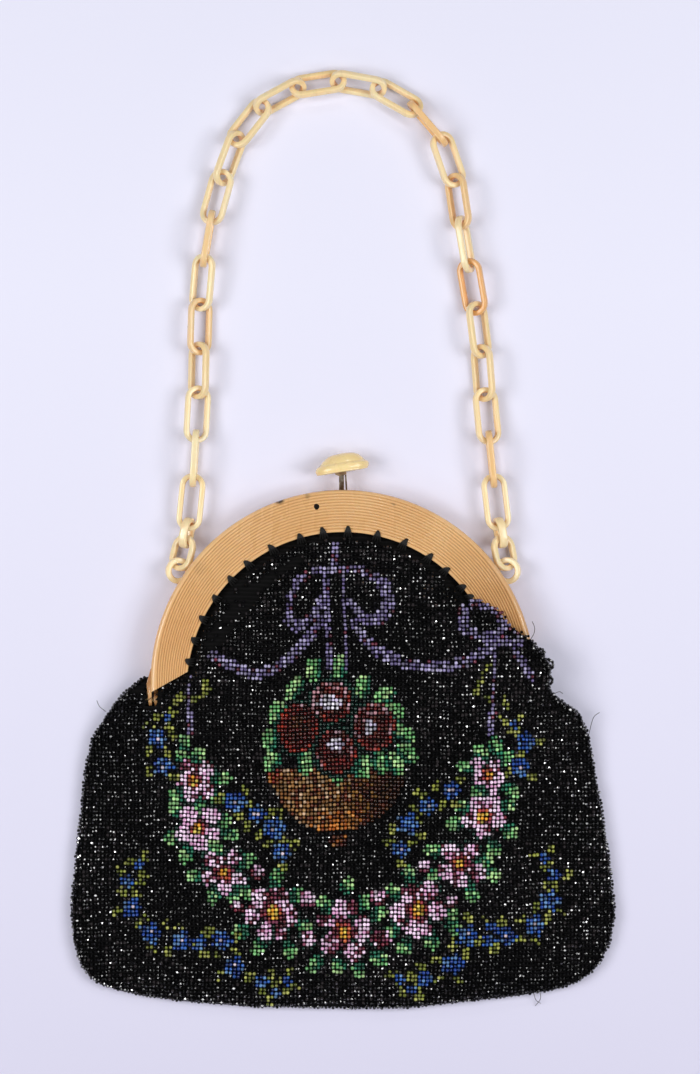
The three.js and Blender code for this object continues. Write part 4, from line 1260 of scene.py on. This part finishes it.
def segment_distance(x, y, start, end):
    """Distance of points from a straight line between two others."""
    along_x = end[0] - start[0]
    along_y = end[1] - start[1]
    share = ((x - start[0]) * along_x + (y - start[1]) * along_y) / (along_x**2 + along_y**2)
    share = np.clip(share, 0.0, 1.0)
    return np.hypot(x - start[0] - share * along_x, y - start[1] - share * along_y)


def distance_to_line(x, y, line):
    """Distance of points from a line through several points."""
    return np.min([segment_distance(x, y, start, end) for start, end in zip(line, line[1:])], axis=0)


def fold_height(x, y, folds):
    height = np.zeros_like(x)
    for from_x, from_y, to_x, to_y, width, rise in folds:
        away = segment_distance(x, y, (from_x, from_y), (to_x, to_y))
        height += rise * np.exp(-((away / width) ** 2))
    return height


def mouth_inset(x, y):
    """How far inside the edge of the frame's mouth a point lies."""
    return MOUTH_RADIUS - GAP - np.hypot(x, y - MOUTH_CENTRE_Y)


def lap_depth(x, y):
    """How far below the edge of the cloth that laps over the frame's right end a point lies."""
    below = np.interp(x, LAP_EDGE_X, LAP_EDGE_Y) - y
    return np.minimum(below, x - LAP_EDGE_X[0])


def above_frame_end(x, y, margin):
    mouth_end = mouth_point(math.radians(MOUTH_END_DEG))
    rim_end = rim_point(math.radians(RIM_END_DEG))
    end_y = np.interp(np.abs(x), [mouth_end[0], rim_end[0]], [mouth_end[1], rim_end[1]])
    return y > end_y - margin


def tuck(x, y):
    """How fully cloth is drawn in under the mouth's edge, above the middle of the arch."""
    at_edge = 1.0 - smooth_step(mouth_inset(x, y) / TUCK_REACH)
    return at_edge * smooth_step((y - ARCH_CENTRE_Y) / TUCK_REACH)


def front_surface(x, y):
    """Height of the beaded front, dipping to go under the edge of the frame's mouth."""
    left, right, crown, left_edge, right_edge = level_at(y)
    share = np.clip((x - left - SIDE_TUCK / 2) / (right - left - SIDE_TUCK), 0.0, 1.0)
    edge = left_edge + (right_edge - left_edge) * share
    dome = 1.0 - np.abs(2.0 * share - 1.0) ** CROWN_FULLNESS
    height = edge + (crown - edge + fold_height(x, y, FOLDS)) * dome
    tucked = tuck(x, y) * (1.0 - smooth_step(lap_depth(x, y) / LAP_FADE))
    return height + (np.minimum(height, FRONT_TUCK_Z) - height) * tucked


def back_surface(x, y):
    return BACK_TUCK_Z * tuck(x, y)


def frame_covers(x, y, margin, lap_counts):
    """Where the frame's band, grown by a margin, takes the place of cloth."""
    beyond_mouth = mouth_inset(x, y) < margin
    within_rim = np.hypot(x, y - ARCH_CENTRE_Y) < ARCH_RADIUS + 2 * GAP + margin
    covered = beyond_mouth & within_rim & above_frame_end(x, y, margin)
    if lap_counts:
        covered &= lap_depth(x, y) < 0.0
    return covered


def ear_covers(x, y, margin, both_sides):
    reach = np.abs(x) if both_sides else -x
    beside = (reach > BACK_EAR_X - margin) & (reach < FRONT_EAR_X + EAR_THICK + margin)
    return beside & (y > HINGE_Y - EAR_RADIUS - margin) & (y < EAR_ROOT_Y + margin)


# Cloth
def cloth_ring(y):
    """Points round the cloth at a height: the front, the right side, the back and the left side."""
    left, right, _, left_edge, right_edge = level_at(y)
    turn = np.linspace(-0.5, 0.5, CLOTH_COLUMNS) * math.pi * CLOTH_SPREAD
    share = (np.sin(turn) / math.sin(CLOTH_SPREAD * math.pi / 2) + 1) / 2
    x = left + CLOTH_DEPTH + (right - left - 2 * CLOTH_DEPTH) * share
    row_y = np.full_like(x, y)
    front = np.column_stack([x, row_y, front_surface(x, row_y) - CLOTH_DEPTH])
    pleat = PLEAT_HEIGHT * np.sin(np.arctan2(y - MOUTH_CENTRE_Y, x) * PLEAT_COUNT)
    near_mouth = np.clip(1.0 - np.abs(mouth_inset(x, row_y)) / TUCK_REACH, 0.0, 1.0)
    front[:, 2] += pleat * near_mouth * (y > PLEAT_LOW_Y)
    back = np.column_stack([x, row_y, back_surface(x, row_y) + CLOTH_DEPTH])[::-1]
    right_side = (right - CLOTH_DEPTH / 2, y, right_edge / 2)
    left_side = (left + CLOTH_DEPTH / 2, y, left_edge / 2)
    return np.vstack([front, right_side, back, left_side])


def cloth_hidden(x, y, is_front):
    """Where the frame takes the place of the cloth's front, and of its back and sides."""
    front = frame_covers(x, y, -UNDER_PLATE, True) | ear_covers(x, y, CLOTH_EAR_ROOM, False)
    back = frame_covers(x, y, -UNDER_PLATE, False) | ear_covers(x, y, CLOTH_EAR_ROOM, True)
    side = frame_covers(x, y, CLOTH_SIDE_ROOM, True) & (y > CLOTH_SIDE_Y)
    return np.where(is_front, front, back | side)


def build_cloth():
    """The knit shell under the beads, with its top edges tucked into the frame."""
    heights = np.arange(POUCH_BOTTOM_Y + CLOTH_DEPTH, POUCH_TOP_Y + UNDER_PLATE, CLOTH_STEP)
    rings = [cloth_ring(y) for y in heights]
    sides = len(rings[0])
    points = np.concatenate(rings)
    faces = ring_faces(len(rings), sides, False)
    middle = points[faces].mean(axis=1)
    is_front = (faces % sides).max(axis=1) < CLOTH_COLUMNS
    shown = ~cloth_hidden(middle[:, 0], middle[:, 1], is_front)
    column = np.arange(CLOTH_COLUMNS - 1)
    mirror = 2 * CLOTH_COLUMNS - column
    bottom = np.column_stack([column + 1, column, mirror, mirror - 1])
    used, corners = np.unique(np.vstack([faces[shown], bottom]), return_inverse=True)
    cloth = add_mesh("pouch_cloth", points[used], corners.reshape(-1, 4), BLACK_CLOTH)
    thick = cloth.modifiers.new("thick", "SOLIDIFY")
    thick.thickness = CLOTH_THICK * MM
    thick.offset = -1.0
    apply_modifiers(cloth)
    cloth.data.shade_smooth()
    settle(cloth, "bag", "beaded_cloth", "pouch")


# Bead templates
def faceted_bead():
    """A cut bead with twenty faces, one unit across."""
    golden = (1 + math.sqrt(5)) / 2
    points = []
    for first, second in itertools.product((-1, 1), (-golden, golden)):
        points += [(0, first, second), (first, second, 0), (second, 0, first)]
    points = np.array(points) / (2 * math.hypot(1, golden))
    nearest = min(np.linalg.norm(points[0] - point) for point in points[1:])
    faces = []
    for a, b, c in itertools.combinations(range(len(points)), 3):
        sides = [np.linalg.norm(points[i] - points[j]) for i, j in ((a, b), (b, c), (a, c))]
        if np.allclose(sides, nearest):
            outward = np.dot(np.cross(points[b] - points[a], points[c] - points[a]), points[a]) > 0
            faces.append((a, b, c) if outward else (a, c, b))
    return points, np.array(faces)


def round_bead():
    """A round bead of thirty-two faces, one unit across."""
    points = [(1, 0, 0), (-1, 0, 0), (0, 1, 0), (0, -1, 0), (0, 0, 1), (0, 0, -1)]
    faces = []
    for x, y, z in itertools.product((0, 1), (2, 3), (4, 5)):
        corners = (x, y, z) if (x + y + z) % 2 == 0 else (x, z, y)
        middles = []
        for first, second in ((0, 1), (1, 2), (2, 0)):
            middle = tuple(np.add(points[corners[first]], points[corners[second]]) / math.sqrt(2))
            if middle not in points:
                points.append(middle)
            middles.append(points.index(middle))
        for i in range(3):
            faces.append((corners[i], middles[i], middles[i - 1]))
        faces.append(tuple(middles))
    return np.array(points) / 2, np.array(faces)


FACETED = faceted_bead()
ROUND = round_bead()


def random_turns(count):
    """Seeded turns, as one matrix for each bead."""
    axes = random.normal(size=(4, count))
    w, x, y, z = axes / np.linalg.norm(axes, axis=0)
    rows = [
        [1 - 2 * (y * y + z * z), 2 * (x * y - z * w), 2 * (x * z + y * w)],
        [2 * (x * y + z * w), 1 - 2 * (x * x + z * z), 2 * (y * z - x * w)],
        [2 * (x * z - y * w), 2 * (y * z + x * w), 1 - 2 * (x * x + y * y)],
    ]
    return np.moveaxis(np.array(rows), -1, 0)


def spread_beads(template, centres, turned):
    points, faces = template
    count = len(centres)
    sizes = np.array(BEAD_SIZE) * random.uniform(*BEAD_SIZE_SHARES, size=(count, 1))
    shapes = np.repeat(points[None], count, axis=0)
    if turned:
        shapes = np.einsum("nij,nkj->nki", random_turns(count), shapes)
    shapes = shapes * sizes[:, None] + centres[:, None]
    offsets = np.arange(count)[:, None, None] * len(points)
    return shapes.reshape(-1, 3), (faces[None] + offsets).reshape(-1, 3)


def waves(rows, x, y):
    """The sum of a table's waves at each place."""
    return sum(height * np.sin(x / long_x + y / long_y + start) for height, long_x, long_y, start in rows)


def add_black_beads(name, centres):
    """Faceted jet beads, whose shine changes from bead to bead, with painted sheen and shade changing it
    slowly over the cloth.
    """
    points, faces = spread_beads(FACETED, centres, True)
    piece = add_mesh(name, points, faces, BLACK_GLASS, smooth=False)
    spark = SPARK * random.uniform(0.0, 1.0, len(centres)) ** 2
    # Painted sheen and shade: slow waves that change the beads' colour and shine
    sheen_and_shade = SHEEN_AND_SHADE_BASE + waves(SHEEN_AND_SHADE_WAVES, centres[:, 0], centres[:, 1])
    point_values(piece, "tone", np.repeat(np.clip(spark * sheen_and_shade, 0.0, 1.0), len(FACETED[0])))
    settle(piece, "bag", "beaded_cloth")


def add_coloured_beads(name, centres, colours):
    points, faces = spread_beads(ROUND, centres, False)
    piece = add_mesh(name, points, faces, COLOURED_GLASS)
    point_colours(piece, "bead_colour", np.repeat(colours, len(ROUND[0]), axis=0))
    settle(piece, "bag", "beaded_cloth")


# Bead chart
def grown(x, y, half_width, half_height, margin):
    return x, y, half_width + margin, half_height + margin


class Chart:
    """Colours of the front's beads, painted motif by motif over a black ground."""

    def __init__(self, x, y):
        self.x = x
        self.y = y
        self.colours = np.zeros((len(x), 3))
        self.painted = np.zeros(len(x), dtype=bool)

    def paint(self, where, palette, share=1.0, dimmest=DIMMEST):
        chosen = where & (random.uniform(size=len(self.x)) < share)
        count = int(chosen.sum())
        tones = np.array([linear(tone) for tone in palette])
        picked = tones[random.integers(len(tones), size=count)]
        self.colours[chosen] = picked * random.uniform(dimmest, BRIGHTEST, size=(count, 1))
        self.painted[chosen] = True

    def sprinkle(self, where, chance, palette):
        """Paints by a chance that changes from place to place."""
        self.paint(where & (random.uniform(size=len(self.x)) < chance), palette)

    def near_line(self, points, half_width):
        return distance_to_line(self.x, self.y, points) < half_width

    def ellipse(self, x, y, half_width, half_height, turn=0.0):
        """Distance from a middle as a share of an ellipse, with the turned offsets."""
        dx = self.x - x
        dy = self.y - y
        along = dx * math.cos(turn) + dy * math.sin(turn)
        across = dy * math.cos(turn) - dx * math.sin(turn)
        return np.hypot(along / half_width, across / half_height), along, across

    def inside(self, x, y, half_width, half_height, turn=0.0):
        return self.ellipse(x, y, half_width, half_height, turn)[0] < 1.0

    def leaf(self, x, y, angle):
        """A light leaf with a dark side."""
        share, _, across = self.ellipse(x, y, *LEAF_SIZE, angle)
        self.paint((share < 1.0) & (across >= LEAF_VEIN), LEAF_LIGHTS)
        self.paint((share < 1.0) & (across < LEAF_VEIN), LEAF_DARKS)

    def garland_leaf(self, x, y):
        """A leaf that points away from the nearest flower, dark at its root."""
        nearest = min(PINK_FLOWERS, key=lambda flower: math.hypot(flower[0] - x, flower[1] - y))
        angle = math.atan2(y - nearest[1], x - nearest[0])
        share, along, across = self.ellipse(x, y, *GARLAND_LEAF_SIZE, angle)
        beyond_root = along - GARLAND_LEAF_SLANT * across > GARLAND_LEAF_ROOT
        self.paint(share < 1.0, LEAF_DARKS)
        self.paint((share < 1.0) & beyond_root, LEAF_LIGHTS, GARLAND_LIGHT_SHARE)

    def bud(self, x, y, radius):
        self.paint(self.inside(x, y, radius, radius), DEEP_PINKS)
        tip_y = y + BUD_TIP["rise"] * radius
        tip = self.inside(x, tip_y, BUD_TIP["width"] * radius, BUD_TIP["height"] * radius)
        self.paint(tip, PINKS)

    def pink_flower(self, middle, petals):
        heart = self.ellipse(*grown(*middle, HEART_RIM))[0]
        self.paint(heart < 1.0, DEEP_PINKS)
        for *petal, dark_share in petals:
            within = self.ellipse(*petal)[0] < PETAL_SIZE
            self.paint(within, PINKS, dimmest=PETAL_DIMMEST)
            self.paint(within, DEEP_PINKS, dark_share)
        self.paint(heart < HEART_SIZE, CENTRE_REDS, HEART_SHARE)
        self.paint(self.ellipse(*middle)[0] < CENTRE_SIZE, CENTRE_YELLOWS)

    def blue_flower(self, x, y, radius):
        share, along, across = self.ellipse(x, y, radius, radius)
        petals = np.cos(BLUE_EDGE["petals"] * np.arctan2(across, along))
        self.paint(share < BLUE_EDGE["reach"] + BLUE_EDGE["scallop"] * petals, BLUES)
        if radius > LEAST_CENTRED_FLOWER:
            self.paint(share * radius < BLUE_CENTRE_RADIUS, PALES)

    def sprigs(self, x, y, radius, first_turn):
        """Small leaves round a blue flower."""
        reach = radius + SPRIG_REACH
        for turn in SPRIG_TURNS:
            angle = first_turn + turn
            tip_x = x + reach * math.cos(angle)
            tip_y = y + reach * math.sin(angle)
            self.paint(self.inside(tip_x, tip_y, *SPRIG_SIZE, angle + SPRIG_LEAN), OLIVES, SPRIG_SHARE)

    def rose(self, middle, rim_share, highlight):
        """A red rose with pale whorls and rims, and a highlight or else a brown heart."""
        share, along, across = self.ellipse(*middle)
        whorl = np.sin(ROSE_WHORL["turns"] * math.pi * share + np.arctan2(across, along))
        crests = (share < ROSE_WHORL["edge"]) & (whorl > ROSE_WHORL["crest"])
        rim = (share < 1.0) & (share > ROSE_RIM_FROM)
        upper_left = across - along > 0.0
        self.paint(share < 1.0, ROSE_REDS)
        self.paint(crests, ROSE_RIMS, ROSE_WHORL["share"] * rim_share)
        self.paint(rim & upper_left, ROSE_RIMS, rim_share)
        self.paint(rim & ~upper_left, ROSE_RUSTS, ROSE_RUST_SHARE)
        if highlight:
            self.paint(self.inside(*highlight), ROSE_LIGHTS)
        else:
            self.paint(share < ROSE_HEART["size"], BASKET_BROWNS, ROSE_HEART["share"])
            left_side = along < ROSE_SIDE["left"] * middle[2]
            self.paint((share < 1.0) & (share > ROSE_SIDE["rim"]) & left_side, ROSE_RUSTS)

    def basket(self):
        """The bowl of the basket, golden on the left, dark on the right and orange at its bottom."""
        share, along, across = self.ellipse(**BASKET)
        bowl = (share < 1.0) & (across < 0.0)
        side = along / BASKET["half_width"]
        depth = -across / BASKET["half_height"]
        orange = BASKET_ORANGE
        low = smooth_step((depth - orange["depth"]) / orange["reach"])
        low *= smooth_step(orange["width"] - orange["narrowing"] * np.abs(side))
        self.paint(bowl, BASKET_BROWNS)
        self.sprinkle(bowl, smooth_step(BASKET_AMBER_FROM - BASKET_FADE * side), BASKET_AMBERS)
        self.sprinkle(bowl, smooth_step(BASKET_GOLD_FROM - BASKET_FADE * side), BASKET_GOLDS)
        self.sprinkle(bowl, low, BASKET_ORANGES)
        self.colours[bowl] *= 1.0 - BASKET_SHADE * smooth_step(side[bowl, None])

    def basket_leaf(self):
        """The wedge of leaf that hangs over the basket's rim, with a light border."""
        leaf = BASKET_LEAF
        drop = (leaf["top_y"] - self.y) / (leaf["top_y"] - leaf["tip_y"])
        half_width = leaf["half_width"] * (1 - drop)
        aside = np.abs(self.x - leaf["x"])
        wedge = (drop > 0) & (drop < 1) & (aside < half_width)
        self.paint(wedge, LEAF_DARKS)
        self.paint(wedge & (aside > half_width - leaf["border"]), LEAF_LIGHTS)


def paint_basket(chart):
    chart.basket()
    chart.paint(chart.inside(**BASKET_TIP), ROSE_RUSTS + BASKET_ORANGES)
    chart.paint(chart.inside(**BASKET_FOOT), BASKET_ORANGES + BASKET_BROWNS)
    chart.basket_leaf()
    for middle, *_ in ROSES:
        chart.paint(chart.inside(*grown(*middle, ROSE_GAP)), GREEN_GAPS)
    for x, y, degrees in BASKET_LEAVES:
        chart.leaf(x, y, math.radians(degrees))
    for rose in ROSES:
        chart.rose(*rose)


def paint_garland(chart):
    for *_, petals in PINK_FLOWERS:
        for *petal, _ in petals:
            chart.paint(chart.inside(*grown(*petal, PETAL_GAP)), GREEN_GAPS, PETAL_GAP_SHARE)
    for leaf in GARLAND_LEAVES:
        chart.garland_leaf(*leaf)
    for bud in BUDS:
        chart.bud(*bud)
    for *middle, petals in PINK_FLOWERS:
        chart.pink_flower(middle, petals)


def paint_blue_sprays(chart):
    for spray in BLUE_SPRAYS:
        for i, flower in enumerate(spray):
            chart.sprigs(*flower, SPRIG_STEP * i)
        for flower in spray:
            chart.blue_flower(*flower)


def paint_ribbons(chart):
    for half_width, points in SPRAYS:
        chart.paint(chart.near_line(points, half_width), OLIVES, SPRAY_SHARE)
    for half_width, points in RIBBONS:
        ribbon = chart.near_line(points, half_width)
        chart.paint(ribbon, LILACS, RIBBON_SHARE)
        chart.paint(ribbon, LILAC_REDS, RIBBON_RED_SHARE)


# Beads
def travelled(*steps):
    """Distance covered so far along a path, from its steps in each direction."""
    return np.concatenate([[0.0], np.cumsum(np.hypot(*steps))])


def grid_beads(surface):
    """Rows of beads at an even pitch along the cloth, out from the middle line."""
    centres = []
    for y in np.arange(POUCH_BOTTOM_Y + FIRST_ROW, POUCH_TOP_Y, BEAD_ROW):
        left, right = level_at(y)[:2]
        for side, limit in ((-1, left), (1, right)):
            x = np.arange(0.0, abs(limit), SURFACE_STEP) * side
            z = surface(x, np.full_like(x, y))
            distance = travelled(np.diff(x), np.diff(z))
            stops = np.arange(0.5, distance[-1] / BEAD_PITCH) * BEAD_PITCH
            row_x = np.interp(stops, distance, x)
            row_z = np.interp(stops, distance, z)
            centres.append(np.column_stack([row_x, np.full_like(row_x, y), row_z]))
    return np.concatenate(centres)


def clear_of_edges(centres, lap_counts):
    """Leaves out beads at the outline, under the frame, at its ears and on the bare strip along its mouth."""
    x, y = centres[:, 0], centres[:, 1]
    ragged = BARE_STRIP + random.uniform(-BARE_STRIP_RAGGED, BARE_STRIP_RAGGED, len(x))
    bare = frame_covers(x, y, BEAD_ROOM, lap_counts) | ear_covers(x, y, BEAD_ROOM, not lap_counts)
    strip = (mouth_inset(x, y) < ragged) & above_frame_end(x, y, BEAD_ROOM)
    if lap_counts:
        strip &= lap_depth(x, y) < LAP_ROOM
    kept = ~bare & ~strip & (distance_to_line(x, y, OUTLINE) > BEAD_ROOM)
    return centres[kept]


def build_front_beads():
    """Beads of the front: coloured ones where a motif is painted, and black ones elsewhere."""
    centres = clear_of_edges(grid_beads(front_surface), True)
    # Painted shade: beads left out in the deepest fold valleys show the black cloth
    gutter = -fold_height(centres[:, 0], centres[:, 1], FOLDS[:GUTTER_FOLDS])
    bare = (gutter > GUTTER_DEPTH) & (random.uniform(size=len(centres)) < GUTTER_SHADE_SHARE)
    centres = centres[~bare]
    centres[:, 2] -= BEAD_DEPTH
    x, y = centres[:, 0].copy(), centres[:, 1].copy()
    chart = Chart(x, y)
    paint_basket(chart)
    paint_garland(chart)
    paint_blue_sprays(chart)
    paint_ribbons(chart)
    centres[:, 0] += waves(ROW_WAVES_X, x, y)
    centres[:, 1] += waves(ROW_WAVES_Y, x, y)
    centres += random.normal(scale=BEAD_JITTER, size=centres.shape)
    add_coloured_beads("front_coloured_beads", centres[chart.painted], chart.colours[chart.painted])
    for name, side in HALVES:
        add_black_beads("front_black_beads_" + name, centres[~chart.painted & (centres[:, 0] * side >= 0)])


def build_back_beads():
    centres = clear_of_edges(grid_beads(back_surface), False)
    centres[:, 2] += LOWEST_BEAD_Z
    for name, side in HALVES:
        add_black_beads("back_beads_" + name, centres[centres[:, 0] * side >= 0])


def side_beads():
    """Rings of beads up the sides of the pouch."""
    distance = travelled(*np.diff(OUTLINE, axis=0).T)
    stops = np.arange(0.0, distance[-1], EDGE_PITCH)
    x, y = [np.interp(stops, distance, column) for column in OUTLINE.T]
    inward = np.column_stack([-np.gradient(y), np.gradient(x)])
    inward /= np.linalg.norm(inward, axis=1, keepdims=True)
    left_edge, right_edge = level_at(y)[3:]
    edges = np.where(x < 0, left_edge, right_edge)
    centres = []
    for i in np.flatnonzero(~ear_covers(x, y, BEAD_ROOM, False)):
        edge = edges[i]
        rows = max(int(round(edge / EDGE_PITCH)), LEAST_EDGE_ROWS)
        for z in np.linspace(BEAD_SIZE[2] / 2, edge - BEAD_DEPTH, rows):
            inset = np.interp(z, [0.0, edge / 2, edge], [SIDE_TUCK, 0.0, SIDE_TUCK / 2])
            inset += random.uniform(0.0, EDGE_UNEVENNESS)
            centres.append((x[i] + inward[i, 0] * inset, y[i] + inward[i, 1] * inset, z))
    return centres


def lap_beads():
    """Short stacks of beads along the lap's free edge."""
    x = np.arange(LAP_EDGE_X[0] + LAP_ROW["start"], LAP_EDGE_X[2], LAP_ROW["pitch"])
    y = np.interp(x, LAP_EDGE_X, LAP_EDGE_Y) - LAP_ROW["inset"]
    centres = []
    for place_x, place_y, top in zip(x, y, front_surface(x, y) - BEAD_DEPTH):
        centres += [(place_x, place_y, z) for z in np.arange(LAP_ROW["bottom"], top, LAP_ROW["step"])]
    return centres


def loop_beads():
    """Loops of beads that stand out from the lap's side."""
    centres = []
    for x, y, z, radius, first, last in BEAD_LOOPS:
        count = int(radius * math.radians(last - first) / LOOP_PITCH) + 1
        for angle in np.radians(np.linspace(first, last, count)):
            centres.append((x + radius * math.cos(angle), y + radius * math.sin(angle), z))
    return centres


def build_edge_beads():
    centres = np.array(side_beads() + lap_beads() + loop_beads())
    centres += random.normal(scale=EDGE_JITTER, size=centres.shape)
    centres[:, 2] = np.maximum(centres[:, 2], LOWEST_BEAD_Z)
    add_black_beads("edge_beads", centres)


# Thread
def stitch_shapes(degrees, reach, lean):
    """The strands of one stitch, from the cloth over the mouth's edge and drawn together on the face."""
    edge = mouth_point(math.radians(degrees))
    outward = edge - (0.0, MOUTH_CENTRE_Y)
    outward /= np.linalg.norm(outward)
    beside = np.array([-outward[1], outward[0]])
    for strand in STITCH_STRANDS:
        points = []
        for inside, reach_share, spread, lean_share, height in STITCH_PATH:
            place = edge + outward * (reach * reach_share - inside)
            place += beside * (strand * spread + lean * lean_share)
            points.append((*place, FRAME_DEPTH + height))
        yield tube_shape(curve_through(points, STITCH_STEPS), THREAD_RADIUS, THREAD_SIDES)


def add_threads(name, shapes):
    settle(add_mesh(name, *joined_shapes(shapes), BLACK_THREAD), "bag", "beaded_cloth")


def build_stitches():
    add_threads("mouth_stitches", [shape for stitch in STITCHES for shape in stitch_shapes(*stitch)])


def build_loose_threads():
    shapes = []
    for points in LOOSE_THREADS:
        path = curve_through(points, LOOSE_THREAD_STEPS)
        shapes.append(tube_shape(path, LOOSE_THREAD_RADIUS, LOOSE_THREAD_SIDES))
    add_threads("loose_threads", shapes)


# Studio
def build_camera():
    camera = bpy.data.cameras.new("camera")
    camera.sensor_width = SENSOR
    camera.lens = LENS
    stand = bpy.data.objects.new("camera", camera)
    distance = VIEW_HEIGHT * LENS / SENSOR
    stand.location = (Vector(CAMERA_AIM) + Vector((0.0, 0.0, distance))) * MM
    bpy.context.scene.collection.objects.link(stand)
    bpy.context.scene.camera = stand


def build_lights():
    for row, (count, first, elevation, distance, size, radiance) in enumerate(LIGHT_ROWS):
        rise = math.radians(elevation)
        for i, turn in enumerate(circle_turns(count)):
            light = bpy.data.lights.new("studio_%d_%d" % (row, i), "AREA")
            light.size = size * MM
            light.energy = math.pi * (size * MM) ** 2 * radiance
            lamp = bpy.data.objects.new(light.name, light)
            azimuth = math.radians(first) + turn
            flat = (math.cos(azimuth) * math.cos(rise), math.sin(azimuth) * math.cos(rise))
            direction = Vector((*flat, math.sin(rise)))
            lamp.location = (Vector(LIGHT_AIM) + direction * distance) * MM
            lamp.rotation_euler = direction.to_track_quat("Z", "Y").to_euler()
            bpy.context.scene.collection.objects.link(lamp)


def build_world():
    world = bpy.data.worlds.new("studio_world")
    world.use_nodes = True
    world.node_tree.nodes["Background"].inputs["Color"].default_value = (*WORLD_LIGHT, 1.0)
    bpy.context.scene.world = world


def build_floor():
    half = FLOOR_SIZE / 2
    corners = [(-half, -half, 0), (half, -half, 0), (half, half, 0), (-half, half, 0)]
    floor = add_mesh("floor", corners, [(0, 1, 2, 3)], floor_paper())
    floor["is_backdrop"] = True


build_camera()
build_lights()
build_world()
build_floor()
build_cloth()
build_front_beads()
build_back_beads()
build_edge_beads()
build_stitches()
build_loose_threads()
build_frame_half("frame_front", True)
build_frame_half("frame_back", False)
build_chain()
build_knob()
dress_pins()
build_stem()
bpy.context.scene.view_settings.view_transform = "Standard"

boxes = {"solids": solid_box, "visual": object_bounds()}
{name: [list(corner) for corner in box] for name, box in boxes.items()}
